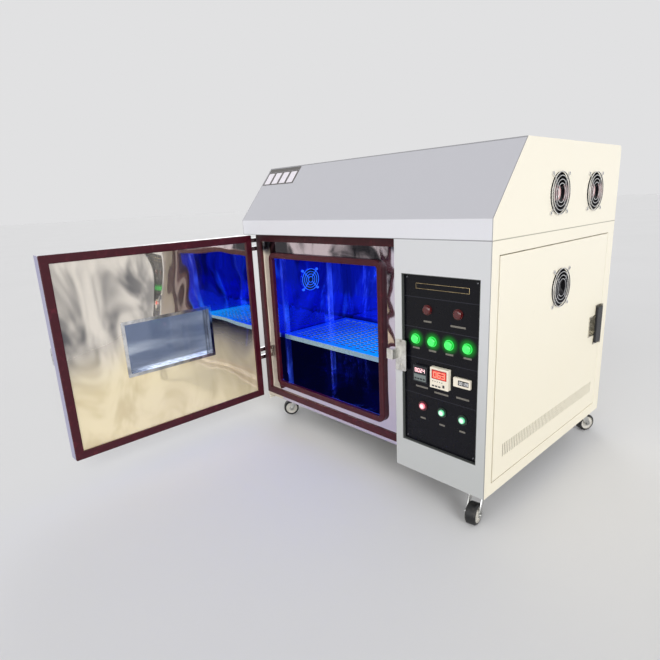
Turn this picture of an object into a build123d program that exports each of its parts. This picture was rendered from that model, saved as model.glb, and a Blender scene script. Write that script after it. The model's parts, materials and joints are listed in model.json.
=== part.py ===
from build123d import *
import math
import os

# Environmental test chamber with ultraviolet lamps, standing open on four casters.
# Millimetres, +Z up. The origin is on the floor under the middle of the cabinet, the front faces -Y.
# The door is modelled shut and then swung to its open rest position.

# Cabinet
WIDTH = 1050.0
DEPTH = 820.0
BODY_HEIGHT = 940.0
CASTER_HEIGHT = 90.0
SHEET = 1.5
SEAM_HEIGHT = 697.0
BAND_HEIGHT = 53.0
SLOPE_DEPTH = 155.0
HOOD_REAR_ROUND = 14.0
COLUMN_WIDTH = 302.0
FRAME_SETBACK = 58.0
FLANGE = 18.0

# Base frame under the cabinet
RAIL_WIDTH = 40.0
RAIL_HEIGHT = 22.0
BASE_SETBACK = 118.0

# Door frame and chamber
FRAME_SHEET = 2.0
OPENING_WIDTH = 533.0
OPENING_HEIGHT = 498.0
OPENING_FROM_LEFT = 107.0
OPENING_FROM_BOTTOM = 108.0
OPENING_ROUND = 8.0
CHAMBER_SIDE_STEP = 3.5
CHAMBER_SILL = 33.0
CHAMBER_HEADROOM = 34.0
CHAMBER_DEPTH = 390.0
LINER_SHEET = 1.2
INSULATION = 50.0

# Seals
SEAL_WIDTH = 26.0
SEAL_ROUND = 2.5
DOOR_SEAL_HEIGHT = 7.0
INNER_SEAL_WIDTH = 20.0
SEAL_GAP = 0.3

# Door
DOOR_EDGE_GAP = 4.0
DOOR_BOTTOM_GAP = 14.0
DOOR_PROUD = 4.0
DOOR_CORE = 48.0
DOOR_ROUND = 9.0
OPEN_ANGLE = 90.0
HINGE_AXIS_OUT = 2.0
HINGE_AXIS_BACK = 20.0
HINGE_PIN_RADIUS = 3.0
RUNNING_GAP = 0.05
KNUCKLE_RADIUS = 5.7
KNUCKLE_HEIGHT = 16.0
KNUCKLE_GAP = 0.3
HINGE_FROM_TOP = 38.0
HINGE_FROM_BOTTOM = 170.0
HINGE_LEAF = 3.0
HINGE_LEAF_LENGTH = 46.0
HINGE_LEAF_HEIGHT = 60.0

# Window in the door
WINDOW_WIDTH = 311.0
WINDOW_HEIGHT = 170.0
WINDOW_FLANGE = 11.0
WINDOW_SHEET = 2.0
GLASS_THICKNESS = 5.0
INNER_GLASS_DEPTH = 18.0
OUTER_GLASS_DEPTH = 6.0

# Door latch and its keeper
LATCH_HEIGHT_ABOVE_BODY = 370.0
CASE_WIDTH = 110.0
CASE_HEIGHT = 60.0
CASE_DEPTH = 30.0
CASE_ROUND = 6.0
CASE_FROM_EDGE = 4.0
BOLT_THROW = 16.0
BOLT_HEIGHT = 20.0
BOLT_DEPTH = 14.0
BOLT_LENGTH = 70.0
BOLT_GAP = 0.4
BOLT_INSET = 2.0
LEVER_LENGTH = 110.0
LEVER_WIDTH = 20.0
LEVER_THICKNESS = 10.0
LEVER_BOSS_RADIUS = 13.0
LEVER_BOSS_HEIGHT = 10.0
LEVER_SPINDLE_RADIUS = 5.0
LEVER_FROM_CASE_END = 30.0
KEEPER_PLATE_WIDTH = 38.0
KEEPER_PLATE_HEIGHT = 95.0
KEEPER_PLATE = 3.0
KEEPER_FROM_EDGE = 4.0
KEEPER_NOSE_WIDTH = 24.0
KEEPER_NOSE_HEIGHT = 30.0
KEEPER_PROUD = 38.0
KEEPER_WALL = 7.0

# Shelf
SHELF_HEIGHT = 300.0
SHELF_FRONT = 22.0
SHELF_REAR_GAP = 25.0
SHELF_SIDE_GAP = 9.0
SHELF_SHEET = 1.5
SHELF_LIP = 18.0
SLOT_LENGTH = 26.0
SLOT_WIDTH = 9.0
SLOT_PITCH_X = 36.0
SLOT_PITCH_Y = 20.0
SLOT_MARGIN = 14.0
UPRIGHT_WIDTH = 20.0
UPRIGHT_DEPTH = 6.0
UPRIGHT_FRONT = 40.0
UPRIGHT_REAR = 285.0
UPRIGHT_TOP_GAP = 40.0
CLIP_WIDTH = 14.0
CLIP_LENGTH = 15.0
CLIP_HEIGHT = 6.0

# Ultraviolet tubes
TUBE_RADIUS = 13.0
TUBE_LENGTH = 438.0
TUBE_COUNT = 4
TUBE_PITCH = 85.0
TUBE_DROP = 26.0
HOLDER_LENGTH = 16.0
HOLDER_WIDTH = 30.0
HOLDER_BELOW_TUBE = 6.0

# Control gear above the chamber and in the side compartment
BALLAST_LENGTH = 230.0
BALLAST_WIDTH = 40.0
BALLAST_HEIGHT = 30.0
BALLAST_PITCH = 90.0
GEAR_PLATE_SHEET = 2.0
GEAR_PLATE_GAP = 12.0
CONTACTOR_SIZE = (46.0, 45.0, 75.0)
CONTACTOR_PITCH = 54.0
CONTACTOR_COUNT = 5
TERMINAL_SIZE = (36.0, 300.0, 42.0)

# Fans
FAN_SIZE = 120.0
FAN_DEPTH = 25.0
FAN_HOLE_INSET = 7.5
FAN_STRUT = 5.0
FAN_RIM = 2.5
FAN_TIP_GAP = 2.0
FAN_HUB_RADIUS = 20.0
FAN_HUB_TOP = 5.0
FAN_BLADES = 7
FAN_BLADE_SHEET = 1.8
FAN_BLADE_CHORD = 25.0
FAN_BLADE_PITCH = 35.0
FAN_SHAFT_RADIUS = 2.0
FAN_BASE = 4.0
FAN_REST_GAP = 0.4
FAN_CORNER_ROUND = 6.0
GUARD_WIRE = 2.2
GUARD_RINGS = 4
GUARD_STEP = 10.5
GUARD_STANDOFF = 4.0
GUARD_FOOT_RADIUS = 5.0
HOOD_FAN_Y = (356.0, 611.0)
HOOD_FAN_Z = 799.0
SIDE_FAN_Y = 404.0
SIDE_FAN_Z = 526.0
WALL_FAN_Y = 235.0
WALL_FAN_Z = 498.0
WALL_FAN_SIZE = 92.0

# Control panel in the column
PANEL_WIDTH = 244.0
PANEL_HEIGHT = 503.0
PANEL_FROM_LEFT = 28.0
PANEL_FROM_BOTTOM = 97.0
PANEL_RECESS = 10.0
PANEL_SHEET = 3.0
PANEL_LAP = 6.0
LAMP_BARREL_RADIUS = 11.0
LAMP_LENS_RADIUS = 13.0
LAMP_LENS_HEIGHT = 11.0
LAMP_BARREL_LENGTH = 36.0
BEZEL_RADIUS = 14.5
BEZEL_HEIGHT = 3.0
BUTTON_RADIUS = 9.0
BUTTON_PROUD = 4.5
BUTTON_TRAVEL = 3.0
BUTTON_GAP = 0.3
BUTTON_BARREL_LENGTH = 40.0
BUTTON_WELL = 14.0
RED_LAMPS = ((0.33, 0.81), (0.73, 0.81))
GREEN_LAMPS = ((0.17, 0.635), (0.40, 0.635), (0.625, 0.635), (0.855, 0.635))
BUTTONS = ((0.27, 0.237), (0.54, 0.232), (0.81, 0.226))
TIMER = (0.252, 0.435, 48.0, 48.0, 10.0)
CONTROLLER = (0.525, 0.437, 60.0, 60.0, 12.0)
COUNTER = (0.805, 0.440, 52.0, 26.0, 7.0)
INSTRUMENT_BODY_DEPTH = 60.0
INSTRUMENT_NECK = 3.0

# Side door
SIDE_OPENING_FRONT = 36.0
SIDE_OPENING_REAR = 769.0
SIDE_OPENING_BOTTOM = 35.0
SIDE_OPENING_TOP = 660.0
SIDE_DOOR_GAP = 3.0
SIDE_DOOR_HINGE_GAP = 6.0
SIDE_DOOR_DEPTH = 20.0
SIDE_PIVOT_IN = 10.0
SIDE_PIVOT_FROM_EDGE = 8.0
SIDE_PIN_LENGTH = 16.0
SIDE_PIN_REACH = 8.0
LOUVRE_FROM_FRONT = 50.0
LOUVRE_FROM_BOTTOM = 56.0
LOUVRE_HEIGHT = 40.0
LOUVRE_WIDTH = 4.0
LOUVRE_PITCH = 10.0
LOUVRE_COUNT = 64
SIDE_LATCH_Z = 347.0
SIDE_LATCH_FROM_REAR = 11.0
DISH_PLATE = 2.0
PADDLE_WIDTH = 46.0
PADDLE_HEIGHT = 126.0
PADDLE_THICKNESS = 8.0
PADDLE_GAP = 0.5
PADDLE_PIN_RADIUS = 2.0
PADDLE_PIN_INSET = 5.0
PADDLE_EAR = 7.0
FINGER_WIDTH = 47.0
FINGER_HEIGHT = 72.0
FINGER_DEPTH = 14.0

# Rear panel
REAR_SLOT_ROWS = 10
REAR_SLOT_LENGTH = 160.0
REAR_SLOT_WIDTH = 5.0
REAR_SLOT_PITCH = 14.0
REAR_SLOTS_Z = 560.0
REAR_SLOTS_X = 190.0
GLAND_RADIUS = 14.0
GLAND_THREAD_RADIUS = 10.0
GLAND_LENGTH = 26.0
GLAND_BORE_RADIUS = 6.0
GLAND_X = 360.0
GLAND_Z = 90.0

# Casters
WHEEL_RADIUS = 31.5
WHEEL_WIDTH = 30.0
WHEEL_ROUND = 4.0
WHEEL_HUB_RADIUS = 13.0
WHEEL_HUB_EXTRA = 1.5
CASTER_TRAIL = 28.0
CASTER_PLATE_SIZE = 60.0
CASTER_PLATE = 3.0
RACE_RADIUS = 17.0
RACE_HEIGHT = 6.0
RACE_GAP = 0.3
FORK_SHEET = 2.5
FORK_GAP = 0.5
FORK_WIDTH = 26.0
KING_PIN_RADIUS = 5.0
AXLE_RADIUS = 4.0
AXLE_HEAD_RADIUS = 6.5
AXLE_HEAD_HEIGHT = 4.0
CASTER_IN = {"front_right": 39.0, "front_left": 52.0, "rear_right": 48.0, "rear_left": 52.0}
CASTER_INWARDS = {"front_right": 36.0, "front_left": 50.0, "rear_right": 44.0, "rear_left": 44.0}
CASTER_HEADING = {"front_right": -80.0, "front_left": -127.0, "rear_right": 60.0, "rear_left": 100.0}

# Planes that the pieces share
LEFT = -WIDTH / 2
RIGHT = WIDTH / 2
FRONT = -DEPTH / 2
BACK = DEPTH / 2
BOTTOM = CASTER_HEIGHT
TOP = BOTTOM + BODY_HEIGHT
SEAM = BOTTOM + SEAM_HEIGHT
COLUMN_LEFT = RIGHT - COLUMN_WIDTH
FRAME_FACE = FRONT + FRAME_SETBACK
FRAME_REAR = FRAME_FACE + FRAME_SHEET
FRAME_BOTTOM = BOTTOM + RAIL_HEIGHT
OPENING_LEFT = LEFT + OPENING_FROM_LEFT
OPENING_RIGHT = OPENING_LEFT + OPENING_WIDTH
OPENING_LOW = BOTTOM + OPENING_FROM_BOTTOM
OPENING_HIGH = OPENING_LOW + OPENING_HEIGHT
CHAMBER_LEFT = OPENING_LEFT - CHAMBER_SIDE_STEP
CHAMBER_RIGHT = OPENING_RIGHT + CHAMBER_SIDE_STEP
CHAMBER_LOW = OPENING_LOW - CHAMBER_SILL
CHAMBER_HIGH = OPENING_HIGH + CHAMBER_HEADROOM
CHAMBER_BACK = FRAME_REAR + CHAMBER_DEPTH
DOOR_LEFT = LEFT + DOOR_EDGE_GAP
DOOR_RIGHT = COLUMN_LEFT - DOOR_EDGE_GAP
DOOR_LOW = FRAME_BOTTOM + DOOR_BOTTOM_GAP
DOOR_HIGH = SEAM - DOOR_EDGE_GAP
DOOR_FACE = FRONT - DOOR_PROUD
DOOR_INNER = DOOR_FACE + DOOR_CORE
DOOR_SEAL_FACE = DOOR_INNER + DOOR_SEAL_HEIGHT
HINGE_X = LEFT - HINGE_AXIS_OUT
HINGE_Y = FRONT + HINGE_AXIS_BACK
PANEL_LEFT = COLUMN_LEFT + PANEL_FROM_LEFT
PANEL_LOW = BOTTOM + PANEL_FROM_BOTTOM
PANEL_FACE = FRONT + PANEL_RECESS
SHELF_TOP = BOTTOM + SHELF_HEIGHT


def block(x0, x1, y0, y1, z0, z1):
    """A box between two corners."""
    centre = Pos((x0 + x1) / 2, (y0 + y1) / 2, (z0 + z1) / 2)
    return centre * Box(abs(x1 - x0), abs(y1 - y0), abs(z1 - z0))


def rod_x(radius, x0, x1, y, z):
    """A cylinder along X."""
    return Pos((x0 + x1) / 2, y, z) * Rot(0, 90, 0) * Cylinder(radius, abs(x1 - x0))


def rod_y(radius, y0, y1, x, z):
    """A cylinder along Y."""
    return Pos(x, (y0 + y1) / 2, z) * Rot(90, 0, 0) * Cylinder(radius, abs(y1 - y0))


def rod_z(radius, z0, z1, x, y):
    """A cylinder along Z."""
    return Pos(x, y, (z0 + z1) / 2) * Cylinder(radius, abs(z1 - z0))


def joined(shapes):
    """One solid from shapes that touch or overlap."""
    whole = shapes[0]
    for shape in shapes[1:]:
        whole = whole + shape
    return whole


def ring_y(x0, x1, z0, z1, width_in, y0, y1, corner=0.0):
    """A rectangular ring in a plane facing Y, width_in wide towards its middle."""
    inner_round = max(corner - width_in, 0.0)
    outer = plate_y(x0, x1, z0, z1, y0, y1, corner)
    hole = plate_y(x0 + width_in, x1 - width_in, z0 + width_in, z1 - width_in, y0 - 1, y1 + 1, inner_round)
    return outer - hole


def plate_y(x0, x1, z0, z1, y0, y1, corner=0.0):
    """A plate facing Y, with its corners rounded about Y."""
    plate = block(x0, x1, y0, y1, z0, z1)
    if corner > 0:
        plate = fillet(plate.edges().filter_by(Axis.Y), corner)
    return plate


def swung_open(shape):
    """Carries a piece of the shut door to the door's open rest position."""
    return Pos(HINGE_X, HINGE_Y, 0) * Rot(0, 0, -OPEN_ANGLE) * Pos(-HINGE_X, -HINGE_Y, 0) * shape


def base_frame():
    """Welded rails under the cabinet, set back below the chamber, with the floor sheet on top."""
    x0 = LEFT + SHEET
    x1 = RIGHT - SHEET
    y0 = FRONT + SHEET
    y1 = BACK - SHEET
    set_back = FRONT + BASE_SETBACK
    top = FRAME_BOTTOM
    rails = [
        block(x0, x0 + RAIL_WIDTH, set_back, y1, BOTTOM, top),
        block(x1 - RAIL_WIDTH, x1, y0, y1, BOTTOM, top),
        block(x0, x1, y1 - RAIL_WIDTH, y1, BOTTOM, top),
        block(x0, COLUMN_LEFT + RAIL_WIDTH, set_back, set_back + RAIL_WIDTH, BOTTOM, top),
        block(COLUMN_LEFT + SHEET, COLUMN_LEFT + RAIL_WIDTH, y0, y1, BOTTOM, top),
        block(COLUMN_LEFT + SHEET, x1, y0, y0 + RAIL_WIDTH, BOTTOM, top),
    ]
    floor_sheet = block(x0, COLUMN_LEFT, FRAME_REAR, y1, top, top + SHEET)
    column_floor = block(COLUMN_LEFT + SHEET, x1, y0, y1, top, top + SHEET)
    return joined(rails + [floor_sheet, column_floor])


def left_side_panel():
    """Folded sheet on the left side, from the door frame to the rear panel."""
    sheet = block(LEFT, LEFT + SHEET, FRAME_REAR, BACK - SHEET, BOTTOM, SEAM)
    front_fold = block(LEFT, LEFT + FLANGE, FRAME_REAR, FRAME_REAR + SHEET, FRAME_BOTTOM + SHEET, SEAM)
    top_fold = block(LEFT, LEFT + FLANGE, FRAME_REAR, BACK - SHEET, SEAM - SHEET, SEAM)
    return joined([sheet, front_fold, top_fold])


def rear_panel():
    """Rear sheet with two banks of air slots and the hole of the cable gland."""
    panel = block(LEFT, RIGHT, BACK - SHEET, BACK, BOTTOM, SEAM)
    middle = BOTTOM + REAR_SLOTS_Z
    for side in (-1, 1):
        for row in range(REAR_SLOT_ROWS):
            z = middle + (row - (REAR_SLOT_ROWS - 1) / 2) * REAR_SLOT_PITCH
            half = REAR_SLOT_LENGTH / 2
            x = side * REAR_SLOTS_X
            slot = block(x - half, x + half, BACK - 2 * SHEET, BACK + SHEET, z, z + REAR_SLOT_WIDTH)
            panel = panel - slot
    return panel - rod_y(GLAND_THREAD_RADIUS, BACK - 2 * SHEET, BACK + SHEET, GLAND_X, BOTTOM + GLAND_Z)


def cable_gland():
    """Threaded gland body with its locknut inside and its dome nut outside the rear panel."""
    z = BOTTOM + GLAND_Z
    dome = rod_y(GLAND_RADIUS, BACK, BACK + GLAND_LENGTH, GLAND_X, z)
    dome = fillet(dome.faces().sort_by(Axis.Y)[-1].edges(), GLAND_RADIUS / 4)
    thread = rod_y(GLAND_THREAD_RADIUS, BACK - 8 * SHEET, BACK, GLAND_X, z)
    locknut = rod_y(GLAND_RADIUS, BACK - 5 * SHEET, BACK - SHEET, GLAND_X, z)
    bore = rod_y(GLAND_BORE_RADIUS, BACK - 9 * SHEET, BACK + GLAND_LENGTH + 1, GLAND_X, z)
    return joined([dome, thread, locknut]) - bore


def side_opening():
    """The side door's opening: front, rear, bottom and top."""
    return (
        FRONT + SIDE_OPENING_FRONT,
        FRONT + SIDE_OPENING_REAR,
        BOTTOM + SIDE_OPENING_BOTTOM,
        BOTTOM + SIDE_OPENING_TOP,
    )


def side_door_edges():
    """The side door's own outline inside its opening: front, rear, bottom and top."""
    y0, y1, z0, z1 = side_opening()
    return y0 + SIDE_DOOR_HINGE_GAP, y1 - SIDE_DOOR_GAP, z0 + SIDE_DOOR_GAP, z1 - SIDE_DOOR_GAP


def side_pivot():
    """X and Y of the side door's pivot line."""
    return RIGHT - SIDE_PIVOT_IN, side_door_edges()[0] + SIDE_PIVOT_FROM_EDGE


def right_side_frame():
    """Right side sheet, folded inwards all round the side door's opening."""
    y0, y1, z0, z1 = side_opening()
    sheet = block(RIGHT - SHEET, RIGHT, FRONT + SHEET, BACK - SHEET, BOTTOM, SEAM)
    folds = block(RIGHT - FLANGE, RIGHT, y0 - SHEET, y1 + SHEET, z0 - SHEET, z1 + SHEET)
    hole = block(RIGHT - FLANGE - 1, RIGHT + 1, y0, y1, z0, z1)
    px, py = side_pivot()
    pins = rod_z(HINGE_PIN_RADIUS, z0 - 2 * SHEET, z1 + 2 * SHEET, px, py)
    return joined([sheet, folds]) - hole - pins


def hood_profile(inset):
    """The hood's side outline, inset from its outer faces, as a face in the YZ plane."""
    slope = math.atan2(BODY_HEIGHT - SEAM_HEIGHT - BAND_HEIGHT, SLOPE_DEPTH)
    lift = inset * (1 - math.cos(slope)) / math.sin(slope)
    run = inset * math.tan(slope / 2)
    band_top = SEAM + BAND_HEIGHT
    points = [
        (FRONT + inset, SEAM),
        (FRONT + inset, band_top - lift),
        (FRONT + SLOPE_DEPTH + run, TOP - inset),
        (BACK - inset, TOP - inset),
        (BACK - inset, SEAM),
    ]
    outline = Plane.YZ * Polygon(*points, align=None)
    rear = outline.vertices().sort_by(Axis.Z)[-2:].sort_by(Axis.Y)[-1]
    return fillet(rear, HOOD_REAR_ROUND - inset)


def hood_shell():
    """Sheet hood over the chamber: front band, slope, top and rear, with welded cheeks."""
    outer = Pos(LEFT, 0, 0) * extrude(hood_profile(0), WIDTH, dir=(1, 0, 0))
    hollow = Pos(LEFT + SHEET, 0, 0) * extrude(hood_profile(SHEET), WIDTH - 2 * SHEET, dir=(1, 0, 0))
    soffit = block(LEFT, RIGHT, FRONT, FRAME_REAR, SEAM, SEAM + SHEET)
    shell = outer - hollow + soffit
    radius = FAN_SIZE / 2 - FAN_RIM
    for y in HOOD_FAN_Y:
        shell = shell - rod_x(radius, RIGHT - 2 * SHEET, RIGHT + 1, FRONT + y, BOTTOM + HOOD_FAN_Z)
    return shell


def control_column():
    """Folded front of the control column, with a recess for the control panel."""
    x0, x1 = PANEL_LEFT, PANEL_LEFT + PANEL_WIDTH
    z0, z1 = PANEL_LOW, PANEL_LOW + PANEL_HEIGHT
    face = block(COLUMN_LEFT, RIGHT, FRONT, FRONT + SHEET, BOTTOM, SEAM)
    left_fold = block(COLUMN_LEFT, COLUMN_LEFT + SHEET, FRONT, FRAME_REAR, BOTTOM, SEAM)
    recess = block(x0 - SHEET, x1 + SHEET, FRONT, PANEL_FACE, z0 - SHEET, z1 + SHEET)
    return joined([face, left_fold, recess]) - block(x0, x1, FRONT - 1, PANEL_FACE + 1, z0, z1)


def door_frame():
    """Mirror-polished front sheet of the chamber, with the opening's rounded corners."""
    sheet = block(LEFT, COLUMN_LEFT, FRAME_FACE, FRAME_REAR, FRAME_BOTTOM, SEAM)
    hole = plate_y(
        OPENING_LEFT, OPENING_RIGHT, OPENING_LOW, OPENING_HIGH, FRAME_FACE - 1, FRAME_REAR + 1, OPENING_ROUND
    )
    return sheet - hole


def wall_fan_place():
    """Centre of the circulation fan on the outside of the chamber's left wall, facing inwards."""
    return Pos(CHAMBER_LEFT - LINER_SHEET, FRONT + WALL_FAN_Y, BOTTOM + WALL_FAN_Z) * Rot(0, 90, 0)


def chamber_liner():
    """Stainless box of the chamber, open to the front, with a flange behind the door frame."""
    t = LINER_SHEET
    outer = block(
        CHAMBER_LEFT - t, CHAMBER_RIGHT + t, FRAME_REAR, CHAMBER_BACK + t, CHAMBER_LOW - t, CHAMBER_HIGH + t
    )
    flange = block(
        CHAMBER_LEFT - FLANGE, CHAMBER_RIGHT + FLANGE, FRAME_REAR, FRAME_REAR + t,
        CHAMBER_LOW - FLANGE, CHAMBER_HIGH + FLANGE,
    )
    cavity = block(
        CHAMBER_LEFT, CHAMBER_RIGHT, FRAME_REAR - 1, CHAMBER_BACK, CHAMBER_LOW, CHAMBER_HIGH
    )
    air_hole = wall_fan_place() * Cylinder(WALL_FAN_SIZE / 2 - FAN_RIM, 6 * t)
    return outer + flange - cavity - air_hole


def insulation():
    """Mineral wool round the liner, with a pocket for the circulation fan."""
    t = LINER_SHEET
    wool = INSULATION + t
    outer = block(
        CHAMBER_LEFT - wool, CHAMBER_RIGHT + wool, FRAME_REAR + t, CHAMBER_BACK + wool,
        CHAMBER_LOW - wool, CHAMBER_HIGH + wool,
    )
    inner = block(
        CHAMBER_LEFT - t, CHAMBER_RIGHT + t, FRAME_REAR, CHAMBER_BACK + t, CHAMBER_LOW - t, CHAMBER_HIGH + t
    )
    pocket_size = WALL_FAN_SIZE + 2
    pocket = wall_fan_place() * Pos(0, 0, -wool / 2) * Box(pocket_size, pocket_size, wool + 2)
    return outer - inner - pocket


def rounded_front(ring, y):
    """Rounds the edges of a seal's front face."""
    front = ring.faces().filter_by(Axis.Y).sort_by(Axis.Y)[0]
    return fillet(front.edges(), SEAL_ROUND)


def frame_seals():
    """The two rubber seals on the door frame: one facing the door's own seal, one round the opening."""
    outer_face = DOOR_SEAL_FACE + SEAL_GAP
    outer = ring_y(DOOR_LEFT, DOOR_RIGHT, DOOR_LOW, DOOR_HIGH, SEAL_WIDTH, outer_face, FRAME_FACE, 4.0)
    w = INNER_SEAL_WIDTH
    inner_face = DOOR_INNER + SEAL_GAP
    hole_round = OPENING_ROUND + w
    inner = ring_y(
        OPENING_LEFT - w, OPENING_RIGHT + w, OPENING_LOW - w, OPENING_HIGH + w, w,
        inner_face, FRAME_FACE, hole_round,
    )
    return [rounded_front(outer, outer_face), rounded_front(inner, inner_face)]


def upright_places():
    """Sides and Y positions of the four shelf uprights, each as (wall X, direction inwards, Y)."""
    rows = (FRAME_REAR + UPRIGHT_FRONT, FRAME_REAR + UPRIGHT_REAR)
    walls = ((CHAMBER_LEFT, 1), (CHAMBER_RIGHT, -1))
    return [(x, way, y) for x, way in walls for y in rows]


def shelf_uprights():
    """Four slotted uprights on the chamber's side walls, each with the clip that carries the shelf."""
    pieces = []
    clip_top = SHELF_TOP - SHELF_LIP - SEAL_GAP
    top = CHAMBER_HIGH - UPRIGHT_TOP_GAP
    for x, way, y in upright_places():
        strip = block(x, x + way * UPRIGHT_DEPTH, y - UPRIGHT_WIDTH / 2, y + UPRIGHT_WIDTH / 2, CHAMBER_LOW, top)
        pieces.append(strip)
        near = x + way * UPRIGHT_DEPTH
        far = near + way * CLIP_LENGTH
        pieces.append(
            block(near, far, y - CLIP_WIDTH / 2, y + CLIP_WIDTH / 2, clip_top - CLIP_HEIGHT, clip_top)
        )
    return pieces


def shelf():
    """Slotted shelf with its rim folded down on all four sides."""
    x0 = CHAMBER_LEFT + SHELF_SIDE_GAP
    x1 = CHAMBER_RIGHT - SHELF_SIDE_GAP
    y0 = FRAME_FACE + SHELF_FRONT
    y1 = CHAMBER_BACK - SHELF_REAR_GAP
    t = SHELF_SHEET
    tray = block(x0, x1, y0, y1, SHELF_TOP - SHELF_LIP, SHELF_TOP)
    tray = tray - block(x0 + t, x1 - t, y0 + t, y1 - t, SHELF_TOP - SHELF_LIP - 1, SHELF_TOP - t)
    columns = int((x1 - x0 - 2 * SLOT_MARGIN) / SLOT_PITCH_X)
    rows = int((y1 - y0 - 2 * SLOT_MARGIN) / SLOT_PITCH_Y)
    slots = GridLocations(SLOT_PITCH_X, SLOT_PITCH_Y, columns, rows) * Rectangle(SLOT_LENGTH, SLOT_WIDTH)
    cutter = extrude(Pos((x0 + x1) / 2, (y0 + y1) / 2, SHELF_TOP - 2 * t) * Sketch(slots), 3 * t)
    return tray - cutter


def tube_rows():
    """Y of each ultraviolet tube."""
    middle = FRAME_REAR + CHAMBER_DEPTH / 2
    return [middle + (i - (TUBE_COUNT - 1) / 2) * TUBE_PITCH for i in range(TUBE_COUNT)]


def uv_tubes():
    """Ultraviolet tubes across the top of the chamber."""
    x = (CHAMBER_LEFT + CHAMBER_RIGHT) / 2
    z = CHAMBER_HIGH - TUBE_DROP
    return [rod_x(TUBE_RADIUS, x - TUBE_LENGTH / 2, x + TUBE_LENGTH / 2, y, z) for y in tube_rows()]


def lamp_holders():
    """A holder on the ceiling at each end of each tube."""
    x = (CHAMBER_LEFT + CHAMBER_RIGHT) / 2
    low = CHAMBER_HIGH - TUBE_DROP - HOLDER_BELOW_TUBE
    pieces = []
    for y in tube_rows():
        for way in (-1, 1):
            near = x + way * TUBE_LENGTH / 2
            half = HOLDER_WIDTH / 2
            pieces.append(block(near, near + way * HOLDER_LENGTH, y - half, y + half, low, CHAMBER_HIGH))
    return pieces


def mounting_plates():
    """The hood's floor plate and the divider that carries the gear in the side compartment."""
    t = GEAR_PLATE_SHEET
    hood_floor = block(LEFT + SHEET, RIGHT - SHEET, FRAME_REAR, BACK - SHEET, SEAM, SEAM + t)
    divider = block(COLUMN_LEFT + SHEET, COLUMN_LEFT + SHEET + t, FRAME_REAR, BACK - SHEET, FRAME_BOTTOM + SHEET, SEAM)
    return [hood_floor, divider]


def control_gear():
    """Lamp ballasts on the hood's floor, and contactors and a terminal strip on the divider."""
    pieces = []
    top = SEAM + GEAR_PLATE_SHEET
    x = (CHAMBER_LEFT + CHAMBER_RIGHT) / 2
    for i in range(TUBE_COUNT):
        y = FRAME_REAR + CHAMBER_DEPTH / 2 + (i - (TUBE_COUNT - 1) / 2) * BALLAST_PITCH
        pieces.append(
            block(
                x - BALLAST_LENGTH / 2, x + BALLAST_LENGTH / 2, y - BALLAST_WIDTH / 2, y + BALLAST_WIDTH / 2,
                top, top + BALLAST_HEIGHT,
            )
        )
    face = COLUMN_LEFT + SHEET + GEAR_PLATE_SHEET
    z = (BOTTOM + SEAM) / 2
    reach, width, height = CONTACTOR_SIZE
    for i in range(CONTACTOR_COUNT):
        y = (i - (CONTACTOR_COUNT - 1) / 2) * CONTACTOR_PITCH
        pieces.append(block(face, face + reach, y - width / 2, y + width / 2, z, z + height))
    reach, width, height = TERMINAL_SIZE
    low = z - CONTACTOR_SIZE[2] - height
    pieces.append(block(face, face + reach, -width / 2, width / 2, low, low + height))
    return pieces


def fan_radii(size):
    """Bore and blade radius of a fan of a given size."""
    bore = size / 2 - FAN_RIM
    return bore, bore - FAN_TIP_GAP


def fan_housing(size):
    """Fan frame with its motor base on three struts. Its front face is at Z 0 and air leaves along +Z."""
    bore = fan_radii(size)[0]
    frame = Pos(0, 0, -FAN_DEPTH / 2) * Box(size, size, FAN_DEPTH)
    frame = fillet(frame.edges().filter_by(Axis.Z), FAN_CORNER_ROUND)
    frame = frame - Pos(0, 0, -FAN_DEPTH / 2) * Cylinder(bore, FAN_DEPTH + 2)
    base_middle = -FAN_DEPTH + FAN_BASE / 2
    struts = [
        Rot(0, 0, 120 * i + 30) * Pos(bore / 2 + 1, 0, base_middle) * Box(bore, FAN_STRUT, FAN_BASE)
        for i in range(3)
    ]
    base = Pos(0, 0, base_middle) * Cylinder(FAN_HUB_RADIUS, FAN_BASE)
    shaft_length = FAN_DEPTH - FAN_BASE - 2 * FAN_HUB_TOP
    shaft = Pos(0, 0, -FAN_DEPTH + FAN_BASE + shaft_length / 2) * Cylinder(FAN_SHAFT_RADIUS, shaft_length)
    return joined([frame, base, shaft] + struts)


def fan_rotor(size):
    """Hub with pitched blades, running on the housing's shaft."""
    tip = fan_radii(size)[1]
    low = -FAN_DEPTH + FAN_BASE + FAN_REST_GAP
    high = -FAN_HUB_TOP
    hub = Pos(0, 0, (low + high) / 2) * Cylinder(FAN_HUB_RADIUS, high - low)
    middle = (low + high) / 2 + FAN_REST_GAP
    reach = tip - FAN_HUB_RADIUS + 4
    blades = [
        Rot(0, 0, 360 / FAN_BLADES * i)
        * Pos(FAN_HUB_RADIUS - 2 + reach / 2, 0, middle)
        * Rot(FAN_BLADE_PITCH, 0, 0)
        * Box(reach, FAN_BLADE_CHORD, FAN_BLADE_SHEET)
        for i in range(FAN_BLADES)
    ]
    rotor = joined([hub] + blades) & (Pos(0, 0, -FAN_DEPTH / 2) * Cylinder(tip, FAN_DEPTH))
    bore = Pos(0, 0, low) * Cylinder(FAN_SHAFT_RADIUS + RUNNING_GAP, 2 * (FAN_DEPTH - FAN_BASE - 2 * FAN_HUB_TOP))
    return rotor - bore


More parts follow.
